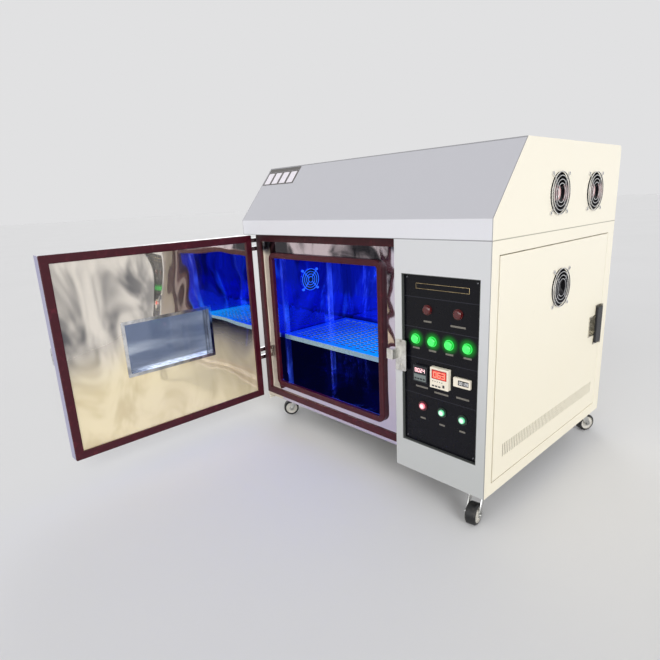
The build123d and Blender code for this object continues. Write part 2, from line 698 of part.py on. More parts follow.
def fan_guard(size, sheet):
    """Ring guard on the outer face of a sheet that is in front of the fan."""
    wire = GUARD_WIRE
    low = sheet + GUARD_STANDOFF
    outer = size / 2 - FAN_RIM
    pieces = []
    for i in range(GUARD_RINGS):
        r = outer - i * GUARD_STEP
        ring = Cylinder(r + wire / 2, wire) - Cylinder(r - wire / 2, wire + 1)
        pieces.append(Pos(0, 0, low + wire / 2) * ring)
    inner = outer - (GUARD_RINGS - 1) * GUARD_STEP
    foot = (size / 2 - FAN_HOLE_INSET) * math.sqrt(2)
    for i in range(4):
        spoke = Pos((inner + foot) / 2, 0, low - wire / 4) * Box(foot - inner, wire, wire)
        pad = Pos(foot, 0, (sheet + low) / 2) * Cylinder(GUARD_FOOT_RADIUS, low - sheet)
        pieces.append(Rot(0, 0, 45 + 90 * i) * spoke)
        pieces.append(Rot(0, 0, 45 + 90 * i) * pad)
    return joined(pieces)


def hood_fan_place(y):
    """Where a fan sits on the inside of the hood's right cheek, facing out."""
    return Pos(RIGHT - SHEET, FRONT + y, BOTTOM + HOOD_FAN_Z) * Rot(0, 90, 0)


def side_fan_place():
    """Where the fan sits on the inside of the side door, facing out."""
    return Pos(RIGHT - SHEET, FRONT + SIDE_FAN_Y, BOTTOM + SIDE_FAN_Z) * Rot(0, 90, 0)


def panel_point(spot):
    """X and Z of a spot given as shares of the control panel."""
    return PANEL_LEFT + spot[0] * PANEL_WIDTH, PANEL_LOW + spot[1] * PANEL_HEIGHT


def control_panel():
    """Black panel plate behind the column's recess, with a hole for each lamp, button and instrument."""
    plate = block(
        PANEL_LEFT - PANEL_LAP, PANEL_LEFT + PANEL_WIDTH + PANEL_LAP, PANEL_FACE, PANEL_FACE + PANEL_SHEET,
        PANEL_LOW - PANEL_LAP, PANEL_LOW + PANEL_HEIGHT + PANEL_LAP,
    )
    for spot in RED_LAMPS + GREEN_LAMPS + BUTTONS:
        x, z = panel_point(spot)
        plate = plate - rod_y(LAMP_BARREL_RADIUS, PANEL_FACE - 1, PANEL_FACE + PANEL_SHEET + 1, x, z)
    for spot in (TIMER, CONTROLLER, COUNTER):
        x, z = panel_point(spot)
        half_x = spot[2] / 2 - INSTRUMENT_NECK
        half_z = spot[3] / 2 - INSTRUMENT_NECK
        plate = plate - block(
            x - half_x, x + half_x, PANEL_FACE - 1, PANEL_FACE + PANEL_SHEET + 1, z - half_z, z + half_z
        )
    return plate


def pilot_lamp(spot):
    """Panel lamp: domed lens, bezel and the barrel behind the panel."""
    x, z = panel_point(spot)
    lens = rod_y(LAMP_LENS_RADIUS, PANEL_FACE - LAMP_LENS_HEIGHT, PANEL_FACE, x, z)
    lens = fillet(lens.faces().sort_by(Axis.Y)[0].edges(), LAMP_LENS_HEIGHT * 0.6)
    bezel = rod_y(BEZEL_RADIUS, PANEL_FACE - BEZEL_HEIGHT, PANEL_FACE, x, z)
    barrel = rod_y(LAMP_BARREL_RADIUS, PANEL_FACE, PANEL_FACE + LAMP_BARREL_LENGTH, x, z)
    return joined([lens, bezel, barrel])


def instrument(spot):
    """Square panel instrument: its bezel on the panel and its body behind."""
    x, z = panel_point(spot)
    half_x, half_z, proud = spot[2] / 2, spot[3] / 2, spot[4]
    bezel = plate_y(x - half_x, x + half_x, z - half_z, z + half_z, PANEL_FACE - proud, PANEL_FACE, 1.5)
    body = block(
        x - half_x + INSTRUMENT_NECK, x + half_x - INSTRUMENT_NECK, PANEL_FACE,
        PANEL_FACE + INSTRUMENT_BODY_DEPTH, z - half_z + INSTRUMENT_NECK, z + half_z - INSTRUMENT_NECK,
    )
    return bezel + body


def button_bezel(spot):
    """Bezel and barrel of a push button, with the well that the button slides in."""
    x, z = panel_point(spot)
    bezel = rod_y(BEZEL_RADIUS, PANEL_FACE - BEZEL_HEIGHT, PANEL_FACE, x, z)
    barrel = rod_y(LAMP_BARREL_RADIUS, PANEL_FACE, PANEL_FACE + BUTTON_BARREL_LENGTH, x, z)
    well = rod_y(BUTTON_RADIUS + BUTTON_GAP, PANEL_FACE - BEZEL_HEIGHT - 1, PANEL_FACE + BUTTON_WELL, x, z)
    return bezel + barrel - well


def push_button(spot):
    """Round lit button, with room behind it in the well for its travel."""
    x, z = panel_point(spot)
    face = PANEL_FACE - BEZEL_HEIGHT - BUTTON_PROUD
    button = rod_y(BUTTON_RADIUS, face, PANEL_FACE + BUTTON_WELL - BUTTON_TRAVEL - 1, x, z)
    return fillet(button.faces().sort_by(Axis.Y)[0].edges(), 1.2)


def keeper():
    """Keeper on the column's edge: base plate, post and the nose that the bolt goes behind."""
    x0 = COLUMN_LEFT - 2
    z = BOTTOM + LATCH_HEIGHT_ABOVE_BODY
    face = FRONT - KEEPER_PROUD
    half = KEEPER_NOSE_HEIGHT / 2
    plate_x0 = COLUMN_LEFT + KEEPER_FROM_EDGE
    plate_x1 = plate_x0 + KEEPER_PLATE_WIDTH
    low = z - KEEPER_PLATE_HEIGHT * 0.6
    base = plate_y(plate_x0, plate_x1, low, low + KEEPER_PLATE_HEIGHT, FRONT - KEEPER_PLATE, FRONT, 6.0)
    nose = block(x0, x0 + KEEPER_NOSE_WIDTH, face, face + KEEPER_WALL, z - half, z + half)
    post = block(x0 + KEEPER_NOSE_WIDTH - KEEPER_WALL, x0 + KEEPER_NOSE_WIDTH, face, FRONT, z - half, z + half)
    nose = fillet(nose.faces().sort_by(Axis.X)[0].edges().filter_by(Axis.Z), KEEPER_WALL / 3)
    return joined([base, post, nose])


def hinge_heights():
    """Middle height of the door's two hinges."""
    return DOOR_LOW + HINGE_FROM_BOTTOM, DOOR_HIGH - HINGE_FROM_TOP


def knuckle(z_middle, pin_gap):
    """One hinge knuckle on the door's hinge line, bored for the pin."""
    half = KNUCKLE_HEIGHT / 2
    barrel = rod_z(KNUCKLE_RADIUS, z_middle - half, z_middle + half, HINGE_X, HINGE_Y)
    return barrel - rod_z(HINGE_PIN_RADIUS + pin_gap, z_middle - half - 1, z_middle + half + 1, HINGE_X, HINGE_Y)


def hinge_brackets():
    """The hinges' fixed halves, screwed to the left side: two knuckles, their arms and the plate."""
    pieces = []
    for z in hinge_heights():
        step = KNUCKLE_HEIGHT + KNUCKLE_GAP
        half = KNUCKLE_HEIGHT / 2
        plate = block(
            LEFT - HINGE_LEAF, LEFT, FRAME_REAR, FRAME_REAR + HINGE_LEAF_LENGTH, z - step - half, z + step + half
        )
        parts = [plate]
        for way in (-1, 1):
            middle = z + way * step
            arm = block(
                HINGE_X - KNUCKLE_RADIUS, LEFT, HINGE_Y, FRAME_REAR + HINGE_LEAF, middle - half, middle + half
            )
            parts.append(arm - rod_z(HINGE_PIN_RADIUS, middle - half, middle + half, HINGE_X, HINGE_Y))
            parts.append(knuckle(middle, 0))
        pieces.append(joined(parts))
    return pieces


def door_hinge_leaves():
    """The hinges' moving halves: the middle knuckle, its web and the leaf on the door's face."""
    pieces = []
    for z in hinge_heights():
        half = KNUCKLE_HEIGHT / 2
        leaf_half = HINGE_LEAF_HEIGHT / 2
        outer = DOOR_FACE - HINGE_LEAF
        leaf = plate_y(
            DOOR_LEFT, DOOR_LEFT + HINGE_LEAF_LENGTH, z - leaf_half, z + leaf_half, outer, DOOR_FACE, 3.0
        )
        bridge = block(HINGE_X - HINGE_LEAF / 2, DOOR_LEFT + HINGE_LEAF, outer, DOOR_FACE, z - half, z + half)
        web = block(
            HINGE_X - HINGE_LEAF / 2, HINGE_X + HINGE_LEAF / 2, outer, HINGE_Y - HINGE_PIN_RADIUS - 1,
            z - half, z + half,
        )
        pieces.append(joined([leaf, bridge, web, knuckle(z, RUNNING_GAP)]))
    return pieces


def hinge_pins():
    """Pins of the door's hinges and of the side door's two pivots."""
    pins = []
    for z in hinge_heights():
        reach = 1.5 * KNUCKLE_HEIGHT + KNUCKLE_GAP
        pins.append(rod_z(HINGE_PIN_RADIUS, z - reach, z + reach, HINGE_X, HINGE_Y))
    px, py = side_pivot()
    low, high = side_door_edges()[2:]
    pins.append(rod_z(HINGE_PIN_RADIUS, high - SIDE_PIN_REACH, high + SIDE_DOOR_GAP + SHEET, px, py))
    pins.append(rod_z(HINGE_PIN_RADIUS, low - SIDE_DOOR_GAP - SHEET, low + SIDE_PIN_REACH, px, py))
    return pins


def window_edges(grow=0.0):
    """The window's clear opening, centred on the chamber's opening: left, right, bottom and top."""
    x = (OPENING_LEFT + OPENING_RIGHT) / 2
    z = (OPENING_LOW + OPENING_HIGH) / 2
    half_x = WINDOW_WIDTH / 2 + grow
    half_z = WINDOW_HEIGHT / 2 + grow
    return x - half_x, x + half_x, z - half_z, z + half_z


def window_hole(grow, y0, y1):
    """A block through the door where the window goes."""
    x0, x1, z0, z1 = window_edges(grow)
    return block(x0, x1, y0, y1, z0, z1)


def door_skin():
    """Painted outer pan of the door, folded back on all four sides."""
    pan = block(DOOR_LEFT, DOOR_RIGHT, DOOR_FACE, DOOR_INNER, DOOR_LOW, DOOR_HIGH)
    pan = fillet(pan.faces().sort_by(Axis.Y)[0].edges(), DOOR_ROUND)
    t = SHEET
    hollow = block(DOOR_LEFT + t, DOOR_RIGHT - t, DOOR_FACE + t, DOOR_INNER + DOOR_CORE, DOOR_LOW + t, DOOR_HIGH - t)
    hollow = fillet(hollow.faces().sort_by(Axis.Y)[0].edges(), DOOR_ROUND - t)
    return pan - hollow - window_hole(WINDOW_SHEET, DOOR_FACE - 1, DOOR_INNER)


def door_inner_panel():
    """Mirror-polished inner sheet of the door."""
    t = SHEET
    sheet = block(DOOR_LEFT + t, DOOR_RIGHT - t, DOOR_INNER - t, DOOR_INNER, DOOR_LOW + t, DOOR_HIGH - t)
    return sheet - window_hole(WINDOW_SHEET, DOOR_INNER - 2 * t, DOOR_INNER + t)


def door_insulation():
    """Mineral wool between the door's skin and its inner sheet."""
    t = 2 * SHEET
    wool = block(
        DOOR_LEFT + t, DOOR_RIGHT - t, DOOR_FACE + t, DOOR_INNER - SHEET, DOOR_LOW + t, DOOR_HIGH - t
    )
    wool = fillet(wool.faces().sort_by(Axis.Y)[0].edges(), DOOR_ROUND - t / 2)
    return wool - window_hole(WINDOW_SHEET, DOOR_FACE, DOOR_INNER)


def door_seal():
    """Rubber seal round the edge of the door's inner face."""
    seal = ring_y(DOOR_LEFT, DOOR_RIGHT, DOOR_LOW, DOOR_HIGH, SEAL_WIDTH, DOOR_INNER, DOOR_SEAL_FACE, 4.0)
    rear = seal.faces().filter_by(Axis.Y).sort_by(Axis.Y)[-1]
    return fillet(rear.edges(), SEAL_ROUND)


def glass_planes():
    """Y of the inner pane's and the outer pane's inner faces."""
    return DOOR_INNER - INNER_GLASS_DEPTH, DOOR_FACE + OUTER_GLASS_DEPTH + GLASS_THICKNESS


def window_glass():
    """The window's two panes."""
    x0, x1, z0, z1 = window_edges()
    return [block(x0, x1, y - GLASS_THICKNESS, y, z0, z1) for y in glass_planes()]


def window_trim():
    """The window's inner and outer stainless frames: a flange on the sheet and a sleeve to the middle."""
    inner_pane, outer_pane = glass_planes()
    middle = (inner_pane - GLASS_THICKNESS + outer_pane) / 2
    x0, x1, z0, z1 = window_edges(WINDOW_FLANGE)
    s0, s1, t0, t1 = window_edges(WINDOW_SHEET)
    pieces = []
    for sheet_face, way in ((DOOR_INNER, 1), (DOOR_FACE, -1)):
        flange = plate_y(x0, x1, z0, z1, sheet_face, sheet_face + way * WINDOW_SHEET, 3.0)
        sleeve = block(s0, s1, sheet_face, middle, t0, t1)
        pieces.append(flange + sleeve - window_hole(0, DOOR_FACE - DOOR_CORE, DOOR_INNER + DOOR_CORE))
    return pieces


def latch_places():
    """The shut door's latch: case end at the door's edge, its other end, and its middle height."""
    x1 = DOOR_RIGHT - CASE_FROM_EDGE
    return x1 - CASE_WIDTH, x1, BOTTOM + LATCH_HEIGHT_ABOVE_BODY


def latch_channel(gap):
    """The bolt's channel through the latch case, or the bolt itself without the gap."""
    x0, x1, z = latch_places()
    y = (DOOR_FACE - CASE_DEPTH + DOOR_FACE) / 2
    half_y = BOLT_DEPTH / 2 + gap
    half_z = BOLT_HEIGHT / 2 + gap
    tip = DOOR_RIGHT - BOLT_INSET
    return block(tip - BOLT_LENGTH - gap, tip, y - half_y, y + half_y, z - half_z, z + half_z)


def latch_case():
    """Latch case on the door's outer face, with the bolt's channel open at the door's edge."""
    x0, x1, z = latch_places()
    half = CASE_HEIGHT / 2
    case = block(x0, x1, DOOR_FACE - CASE_DEPTH, DOOR_FACE, z - half, z + half)
    case = fillet(case.edges().filter_by(Axis.Y), CASE_ROUND)
    case = fillet(case.faces().sort_by(Axis.Y)[0].edges(), CASE_ROUND / 3)
    return case - latch_channel(BOLT_GAP)


def latch_bolt():
    """Square bolt, drawn back into the case, with a bevelled tip."""
    bolt = latch_channel(0)
    tip = bolt.faces().sort_by(Axis.X)[-1].edges().filter_by(Axis.Z).sort_by(Axis.Y)[-1]
    return chamfer(tip, BOLT_DEPTH / 3)


def latch_lever():
    """Lever handle on its round boss, hanging down while the bolt is drawn back."""
    x0, x1, z = latch_places()
    x = x0 + LEVER_FROM_CASE_END
    case_face = DOOR_FACE - CASE_DEPTH
    near = case_face - SEAL_GAP
    far = near - LEVER_BOSS_HEIGHT
    boss = rod_y(LEVER_BOSS_RADIUS, far, near, x, z)
    arm = plate_y(
        x - LEVER_WIDTH / 2, x + LEVER_WIDTH / 2, z - LEVER_LENGTH, z + LEVER_WIDTH / 2,
        far - LEVER_THICKNESS, far, LEVER_WIDTH * 0.49,
    )
    arm = fillet(arm.faces().sort_by(Axis.Y)[0].edges(), LEVER_THICKNESS / 4)
    return boss + arm


def side_door():
    """Folded side door with its louvres, fan opening and the cut-out for the latch."""
    y0, y1, z0, z1 = side_door_edges()
    t = SHEET
    pan = block(RIGHT - SIDE_DOOR_DEPTH, RIGHT, y0, y1, z0, z1)
    pan = pan - block(RIGHT - SIDE_DOOR_DEPTH - 1, RIGHT - t, y0 + t, y1 - t, z0 + t, z1 - t)
    px, py = side_pivot()
    lug_y = py + SIDE_PIVOT_FROM_EDGE
    for z in (z0, z1 - t):
        pan = pan + block(RIGHT - SIDE_DOOR_DEPTH, RIGHT, y0, lug_y, z, z + t)
    pan = pan - rod_z(HINGE_PIN_RADIUS + RUNNING_GAP, z0 - 1, z1 + 1, px, py)
    pan = pan - side_fan_place() * Cylinder(FAN_SIZE / 2 - FAN_RIM, 4 * t)
    for i in range(LOUVRE_COUNT):
        y = y0 + LOUVRE_FROM_FRONT + i * LOUVRE_PITCH
        z = z0 + LOUVRE_FROM_BOTTOM
        pan = pan - block(RIGHT - 2 * t, RIGHT + 1, y, y + LOUVRE_WIDTH, z, z + LOUVRE_HEIGHT)
    return pan - finger_pocket(t)


def paddle_edges():
    """Outline of the side latch's paddle: front, rear, bottom and top."""
    rear = side_door_edges()[1] - SIDE_LATCH_FROM_REAR
    z = BOTTOM + SIDE_LATCH_Z
    return rear - PADDLE_WIDTH, rear, z - PADDLE_HEIGHT / 2, z + PADDLE_HEIGHT / 2


def finger_pocket(grow):
    """The pocket for the fingers in front of and partly under the paddle."""
    y0, y1, z0, z1 = paddle_edges()
    z = (z0 + z1) / 2
    half = FINGER_HEIGHT / 2 - 2 * SHEET + grow
    front = y0 - FINGER_WIDTH + 2 * SHEET - grow
    rear = y0 + PADDLE_WIDTH / 3 + grow
    return block(RIGHT - FINGER_DEPTH - grow, RIGHT + SHEET, front, rear, z - half, z + half)


def paddle_pin_line():
    """X and Y of the paddle's pivot."""
    y1 = paddle_edges()[1]
    return RIGHT + DISH_PLATE + PADDLE_GAP + PADDLE_THICKNESS / 2, y1 - PADDLE_THICKNESS / 2


def side_latch_dish():
    """Plated dish of the side latch: the finger pocket, the plate round it and the paddle's two ears."""
    y0, y1, z0, z1 = paddle_edges()
    z = (z0 + z1) / 2
    plate = block(RIGHT, RIGHT + DISH_PLATE, y0, y1 + 1, z0 - PADDLE_EAR, z1 + PADDLE_EAR)
    finger = block(
        RIGHT, RIGHT + DISH_PLATE, y0 - FINGER_WIDTH, y0, z - FINGER_HEIGHT / 2, z + FINGER_HEIGHT / 2
    )
    px, py = paddle_pin_line()
    ears = []
    for low in (z0 - PADDLE_EAR, z1 + PADDLE_GAP):
        ear = block(RIGHT, px, py - PADDLE_EAR, y1, low, low + PADDLE_EAR - PADDLE_GAP)
        ears.append(ear + rod_z(PADDLE_THICKNESS / 2, low, low + PADDLE_EAR - PADDLE_GAP, px, py))
    pocket = finger_pocket(SHEET)
    dish = joined([plate, finger, pocket] + ears) - finger_pocket(0)
    dish = dish - block(RIGHT - SHEET, RIGHT + 3 * DISH_PLATE, *pocket_front())
    return dish - rod_z(PADDLE_PIN_RADIUS + RUNNING_GAP, z0 - PADDLE_EAR - 1, z1 + PADDLE_EAR + 1, px, py)


def pocket_front():
    """The pocket's mouth: front, rear, bottom and top."""
    box = finger_pocket(0).bounding_box()
    return box.min.Y, box.max.Y, box.min.Z, box.max.Z


def side_latch_paddle():
    """Black paddle that the fingers pull out, turning on pins in the dish's ears."""
    y0, y1, z0, z1 = paddle_edges()
    px, py = paddle_pin_line()
    half = PADDLE_THICKNESS / 2
    blade = block(px - half, px + half, y0, py, z0, z1)
    blade = fillet(blade.faces().sort_by(Axis.Y)[0].edges(), half * 0.6)
    pivot = rod_z(half, z0, z1, px, py)
    pins = rod_z(PADDLE_PIN_RADIUS, z0 - PADDLE_EAR, z1 + PADDLE_EAR, px, py)
    return joined([blade, pivot, pins])


def caster_place(name):
    """The caster's swivel line on the floor, turned to its rest heading."""
    side = -1 if "left" in name else 1
    end = -1 if "front" in name else 1
    set_back = BASE_SETBACK if name == "front_left" else 0.0
    x = side * (WIDTH / 2 - CASTER_IN[name])
    y = end * (DEPTH / 2 - CASTER_INWARDS[name] - set_back)
    return Pos(x, y, 0) * Rot(0, 0, CASTER_HEADING[name])


def crown_top():
    """Height of the top of a caster's fork."""
    return CASTER_HEIGHT - CASTER_PLATE - RACE_HEIGHT - RACE_GAP


def caster_plates():
    """Top plates of the casters under the base frame, each with its ball race and king pin."""
    pieces = []
    for name in CASTER_HEADING:
        place = caster_place(name)
        upright = Pos(place.position.X, place.position.Y, 0)
        half = CASTER_PLATE_SIZE / 2
        low = CASTER_HEIGHT - CASTER_PLATE
        plate = block(-half, half, -half, half, low, CASTER_HEIGHT)
        plate = fillet(plate.edges().filter_by(Axis.Z), 5.0)
        race = rod_z(RACE_RADIUS, low - RACE_HEIGHT, low, 0, 0)
        pin_low = crown_top() - FORK_SHEET - RACE_GAP
        king_pin = rod_z(KING_PIN_RADIUS, pin_low, low, 0, 0)
        head = rod_z(KING_PIN_RADIUS * 1.7, pin_low - 3, pin_low, 0, 0)
        pieces.append(upright * joined([plate, race, king_pin, head]))
    return pieces


def caster_fork(name):
    """Pressed fork of one caster, with its axle bolt, trailing behind the swivel line."""
    inner = WHEEL_WIDTH / 2 + WHEEL_HUB_EXTRA + FORK_GAP
    outer = inner + FORK_SHEET
    top = crown_top()
    crown = block(-FORK_WIDTH / 2 - 4, FORK_WIDTH / 2 + 2, -outer, outer, top - FORK_SHEET, top)
    foot = AXLE_HEAD_RADIUS + 3.0
    outline = Polygon(
        (-FORK_WIDTH / 2, top),
        (-FORK_WIDTH / 2, top - 2 * FORK_SHEET),
        (CASTER_TRAIL - foot, WHEEL_RADIUS),
        (CASTER_TRAIL + foot, WHEEL_RADIUS),
        (FORK_WIDTH / 2, top),
        align=None,
    ) + Pos(CASTER_TRAIL, WHEEL_RADIUS) * Circle(foot)
    leg = Pos(0, outer, 0) * extrude(Plane.XZ * outline, FORK_SHEET)
    legs = [leg, Pos(0, -outer - inner, 0) * leg]
    fork = joined([crown] + legs) - rod_z(KING_PIN_RADIUS + RUNNING_GAP, top - 2 * FORK_SHEET, top + 1, 0, 0)
    fork = fork - rod_y(AXLE_RADIUS, -outer - 1, outer + 1, CASTER_TRAIL, WHEEL_RADIUS)
    axle = rod_y(AXLE_RADIUS, -outer, outer, CASTER_TRAIL, WHEEL_RADIUS)
    heads = [
        rod_y(AXLE_HEAD_RADIUS, way * outer, way * (outer + AXLE_HEAD_HEIGHT), CASTER_TRAIL, WHEEL_RADIUS)
        for way in (-1, 1)
    ]
    place = caster_place(name)
    return [place * fork, place * joined([axle] + heads)]


def caster_wheel(name):
    """Rubber-tyred wheel of one caster: tread, recessed web and hub."""
    half = WHEEL_WIDTH / 2
    hub_half = half + WHEEL_HUB_EXTRA
    bore = AXLE_RADIUS + RUNNING_GAP
    rim = WHEEL_RADIUS - 2 * WHEEL_ROUND
    profile = Polygon(
        (bore, -hub_half), (WHEEL_HUB_RADIUS, -hub_half), (WHEEL_HUB_RADIUS, -half + WHEEL_ROUND),
        (rim, -half + WHEEL_ROUND), (rim, -half), (WHEEL_RADIUS - WHEEL_ROUND, -half),
        (WHEEL_RADIUS, -half + WHEEL_ROUND), (WHEEL_RADIUS, half - WHEEL_ROUND),
        (WHEEL_RADIUS - WHEEL_ROUND, half), (rim, half), (rim, half - WHEEL_ROUND),
        (WHEEL_HUB_RADIUS, half - WHEEL_ROUND), (WHEEL_HUB_RADIUS, hub_half), (bore, hub_half),
        align=None,
    )
    wheel = revolve(profile, Axis.Y)
    return caster_place(name) * Pos(CASTER_TRAIL, 0, WHEEL_RADIUS) * wheel


def pieces():
    """Every node by name, with its solid or its list of solids."""
    nodes = {
        "base_frame": base_frame(),
        "left_side_panel": left_side_panel(),
        "rear_panel": rear_panel(),
        "right_side_frame": right_side_frame(),
        "hood_shell": hood_shell(),
        "control_column": control_column(),
        "door_frame": door_frame(),
        "chamber_liner": chamber_liner(),
        "insulation": insulation(),
        "frame_seals": frame_seals(),
        "shelf_uprights": shelf_uprights(),
        "shelf": shelf(),
        "uv_tubes": uv_tubes(),
        "lamp_holders": lamp_holders(),
        "mounting_plates": mounting_plates(),
        "control_gear": control_gear(),
        "control_panel": control_panel(),
        "red_lamps": [pilot_lamp(spot) for spot in RED_LAMPS],
        "green_lamps": [pilot_lamp(spot) for spot in GREEN_LAMPS],
        "timer": instrument(TIMER),
        "temperature_controller": instrument(CONTROLLER),
        "hour_counter": instrument(COUNTER),
        "button_bezels": [button_bezel(spot) for spot in BUTTONS],
        "keeper": keeper(),
        "hinge_brackets": hinge_brackets(),
        "hinge_pins": hinge_pins(),
        "caster_plates": caster_plates(),
        "cable_gland": cable_gland(),
        "side_door": side_door(),
        "side_latch_dish": side_latch_dish(),
        "side_latch_paddle": side_latch_paddle(),
    }
    hood_fans = [hood_fan_place(y) for y in HOOD_FAN_Y]
    housing = fan_housing(FAN_SIZE)
    rotor = fan_rotor(FAN_SIZE)
    guard = fan_guard(FAN_SIZE, SHEET)
    nodes["fan_housings"] = [place * housing for place in hood_fans] + [wall_fan_place() * fan_housing(WALL_FAN_SIZE)]
    nodes["fan_guards"] = [place * guard for place in hood_fans] + [
        wall_fan_place() * fan_guard(WALL_FAN_SIZE, LINER_SHEET)
    ]
    nodes["hood_rotor_front"] = hood_fans[0] * rotor
    nodes["hood_rotor_rear"] = hood_fans[1] * rotor
    nodes["wall_rotor"] = wall_fan_place() * fan_rotor(WALL_FAN_SIZE)
    nodes["side_fan_housing"] = side_fan_place() * housing
    nodes["side_fan_guard"] = side_fan_place() * guard
    nodes["side_rotor"] = side_fan_place() * rotor
    for name, spot in zip(("button_left", "button_middle", "button_right"), BUTTONS):
        nodes[name] = push_button(spot)
    for name in CASTER_HEADING:
        nodes["caster_fork_" + name] = caster_fork(name)
        nodes["caster_wheel_" + name] = caster_wheel(name)
    shut_door = {
        "door_skin": door_skin(),
        "door_inner_panel": door_inner_panel(),
        "door_insulation": door_insulation(),
        "door_seal": door_seal(),
        "window_glass": window_glass(),
        "window_trim": window_trim(),
        "door_hinge_leaves": door_hinge_leaves(),
        "latch_case": latch_case(),
        "latch_lever": latch_lever(),
        "latch_bolt": latch_bolt(),
    }
    for name, shape in shut_door.items():
        nodes[name] = [swung_open(s) for s in shape] if isinstance(shape, list) else swung_open(shape)
    return nodes


os.makedirs("parts", exist_ok=True)
for name, shape in pieces().items():
    solids = shape if isinstance(shape, list) else [shape]
    export_step(Compound(children=[solid for piece in solids for solid in piece.solids()]), f"parts/{name}.step")
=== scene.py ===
import json
import math

import bmesh
import bpy
from mathutils import Matrix, Vector

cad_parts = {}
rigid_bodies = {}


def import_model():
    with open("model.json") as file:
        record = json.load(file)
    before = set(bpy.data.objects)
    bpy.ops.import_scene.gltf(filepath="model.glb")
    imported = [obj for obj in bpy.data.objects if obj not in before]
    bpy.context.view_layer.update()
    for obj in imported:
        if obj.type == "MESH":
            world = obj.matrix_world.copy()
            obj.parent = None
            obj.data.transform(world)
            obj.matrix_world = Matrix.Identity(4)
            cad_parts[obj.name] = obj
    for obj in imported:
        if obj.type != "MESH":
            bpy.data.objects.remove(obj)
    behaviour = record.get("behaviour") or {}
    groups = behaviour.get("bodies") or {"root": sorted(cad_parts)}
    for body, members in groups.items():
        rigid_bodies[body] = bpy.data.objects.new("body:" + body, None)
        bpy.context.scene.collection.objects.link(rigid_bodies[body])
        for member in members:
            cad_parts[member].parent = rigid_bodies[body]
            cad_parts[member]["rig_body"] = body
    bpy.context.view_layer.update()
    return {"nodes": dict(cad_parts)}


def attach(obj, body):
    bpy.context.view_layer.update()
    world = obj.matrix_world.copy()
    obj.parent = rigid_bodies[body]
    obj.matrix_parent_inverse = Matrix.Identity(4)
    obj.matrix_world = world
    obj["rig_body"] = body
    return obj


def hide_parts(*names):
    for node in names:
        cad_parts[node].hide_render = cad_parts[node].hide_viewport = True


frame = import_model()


# The floor is a plain sheet of pale paper, one tone all over. The camera stands in
# front of the right-hand corner at chest height. An even room light and three broad
# lamps fall on the cabinet at a plain level.
def linear(code):
    """The light values of a screen colour written as six hex digits."""
    parts = [int(code[i:i + 2], 16) / 255 for i in (0, 2, 4)]
    return (*(p / 12.92 if p < 0.04045 else ((p + 0.055) / 1.055) ** 2.4 for p in parts), 1.0)


class Value:
    """A value inside a finish; arithmetic on it adds the Math nodes."""

    def __init__(self, finish, socket):
        self.finish = finish
        self.socket = socket

    def __add__(self, other):
        return self.finish.math("ADD", self, other)

    def __sub__(self, other):
        return self.finish.math("SUBTRACT", self, other)

    def __rsub__(self, other):
        return self.finish.math("SUBTRACT", other, self)

    def __mul__(self, other):
        return self.finish.math("MULTIPLY", self, other)

    def __pow__(self, other):
        return self.finish.math("POWER", self, other)

    def __abs__(self):
        return self.finish.math("ABSOLUTE", self)

    __radd__ = __add__
    __rmul__ = __mul__


class Finish:
    """A finish for one kind of surface: a Principled shader and the nodes that vary it."""

    def __init__(self, name, **fixed):
        self.material = bpy.data.materials.new(name)
        self.material.use_nodes = True
        self.tree = self.material.node_tree
        self.tree.nodes.clear()
        out = self.tree.nodes.new("ShaderNodeOutputMaterial")
        self.shader = self.tree.nodes.new("ShaderNodeBsdfPrincipled")
        self.tree.links.new(self.shader.outputs[0], out.inputs[0])
        self.place = self.add("ShaderNodeTexCoord", output="Object")
        self.facing = self.add("ShaderNodeTexCoord", output="Normal")
        self.set({key.replace("_", " "): value for key, value in fixed.items()})

    def put(self, socket, value):
        if isinstance(value, Value):
            self.tree.links.new(value.socket, socket)
        else:
            socket.default_value = value

    def set(self, values):
        for key, value in values.items():
            self.put(self.shader.inputs[key], value)

    def add(self, kind, settings=None, sockets=None, output=0):
        node = self.tree.nodes.new(kind)
        for key, value in (settings or {}).items():
            setattr(node, key, value)
        for key, value in (sockets or {}).items():
            self.put(node.inputs[key], value)
        return Value(self, node.outputs[output])

    def math(self, operation, *values):
        return self.add("ShaderNodeMath", {"operation": operation}, dict(enumerate(values)))

    def along(self, which, axis):
        """One coordinate, 0 to 2, of the place or facing vector."""
        return self.add("ShaderNodeSeparateXYZ", None, {0: which}, axis)

    def noise(self, scale, detail=2.0, roughness=0.5, stretch=(1, 1, 1), distortion=0.0):
        where = self.add(
            "ShaderNodeVectorMath", {"operation": "MULTIPLY"}, {0: self.place, 1: stretch}
        )
        return self.add("ShaderNodeTexNoise", None, {
            "Vector": where, "Scale": scale, "Detail": detail, "Roughness": roughness,
            "Distortion": distortion,
        })

    def ramp(self, value, low, high, start=0.0, end=1.0):
        """A soft step of a value from start to end between two of its levels."""
        return self.add("ShaderNodeMapRange", {"interpolation_type": "SMOOTHSTEP"}, {
            0: value, 1: low, 2: high, 3: start, 4: end,
        })

    def mixed(self, share, first, second):
        sockets = {0: share, 6: first, 7: second}
        return self.add("ShaderNodeMix", {"data_type": "RGBA"}, sockets, 2)

    def relief(self, height, depth):
        sockets = {"Height": height, "Distance": depth, "Strength": 1.0}
        return self.add("ShaderNodeBump", None, sockets)


CAMERA_PLACE = (1.1325, -1.5045, 0.8977)
CAMERA_RIGHT = (0.68484, 0.72720, -0.04666)
CAMERA_UP = (-0.15208, 0.20526, 0.96682)
CAMERA_LOOK = (-0.71265, 0.65502, -0.25117)
SENSOR = 36.0
FOCUS_SHARE = 497.517 / 660
VIEW_REACH = 200

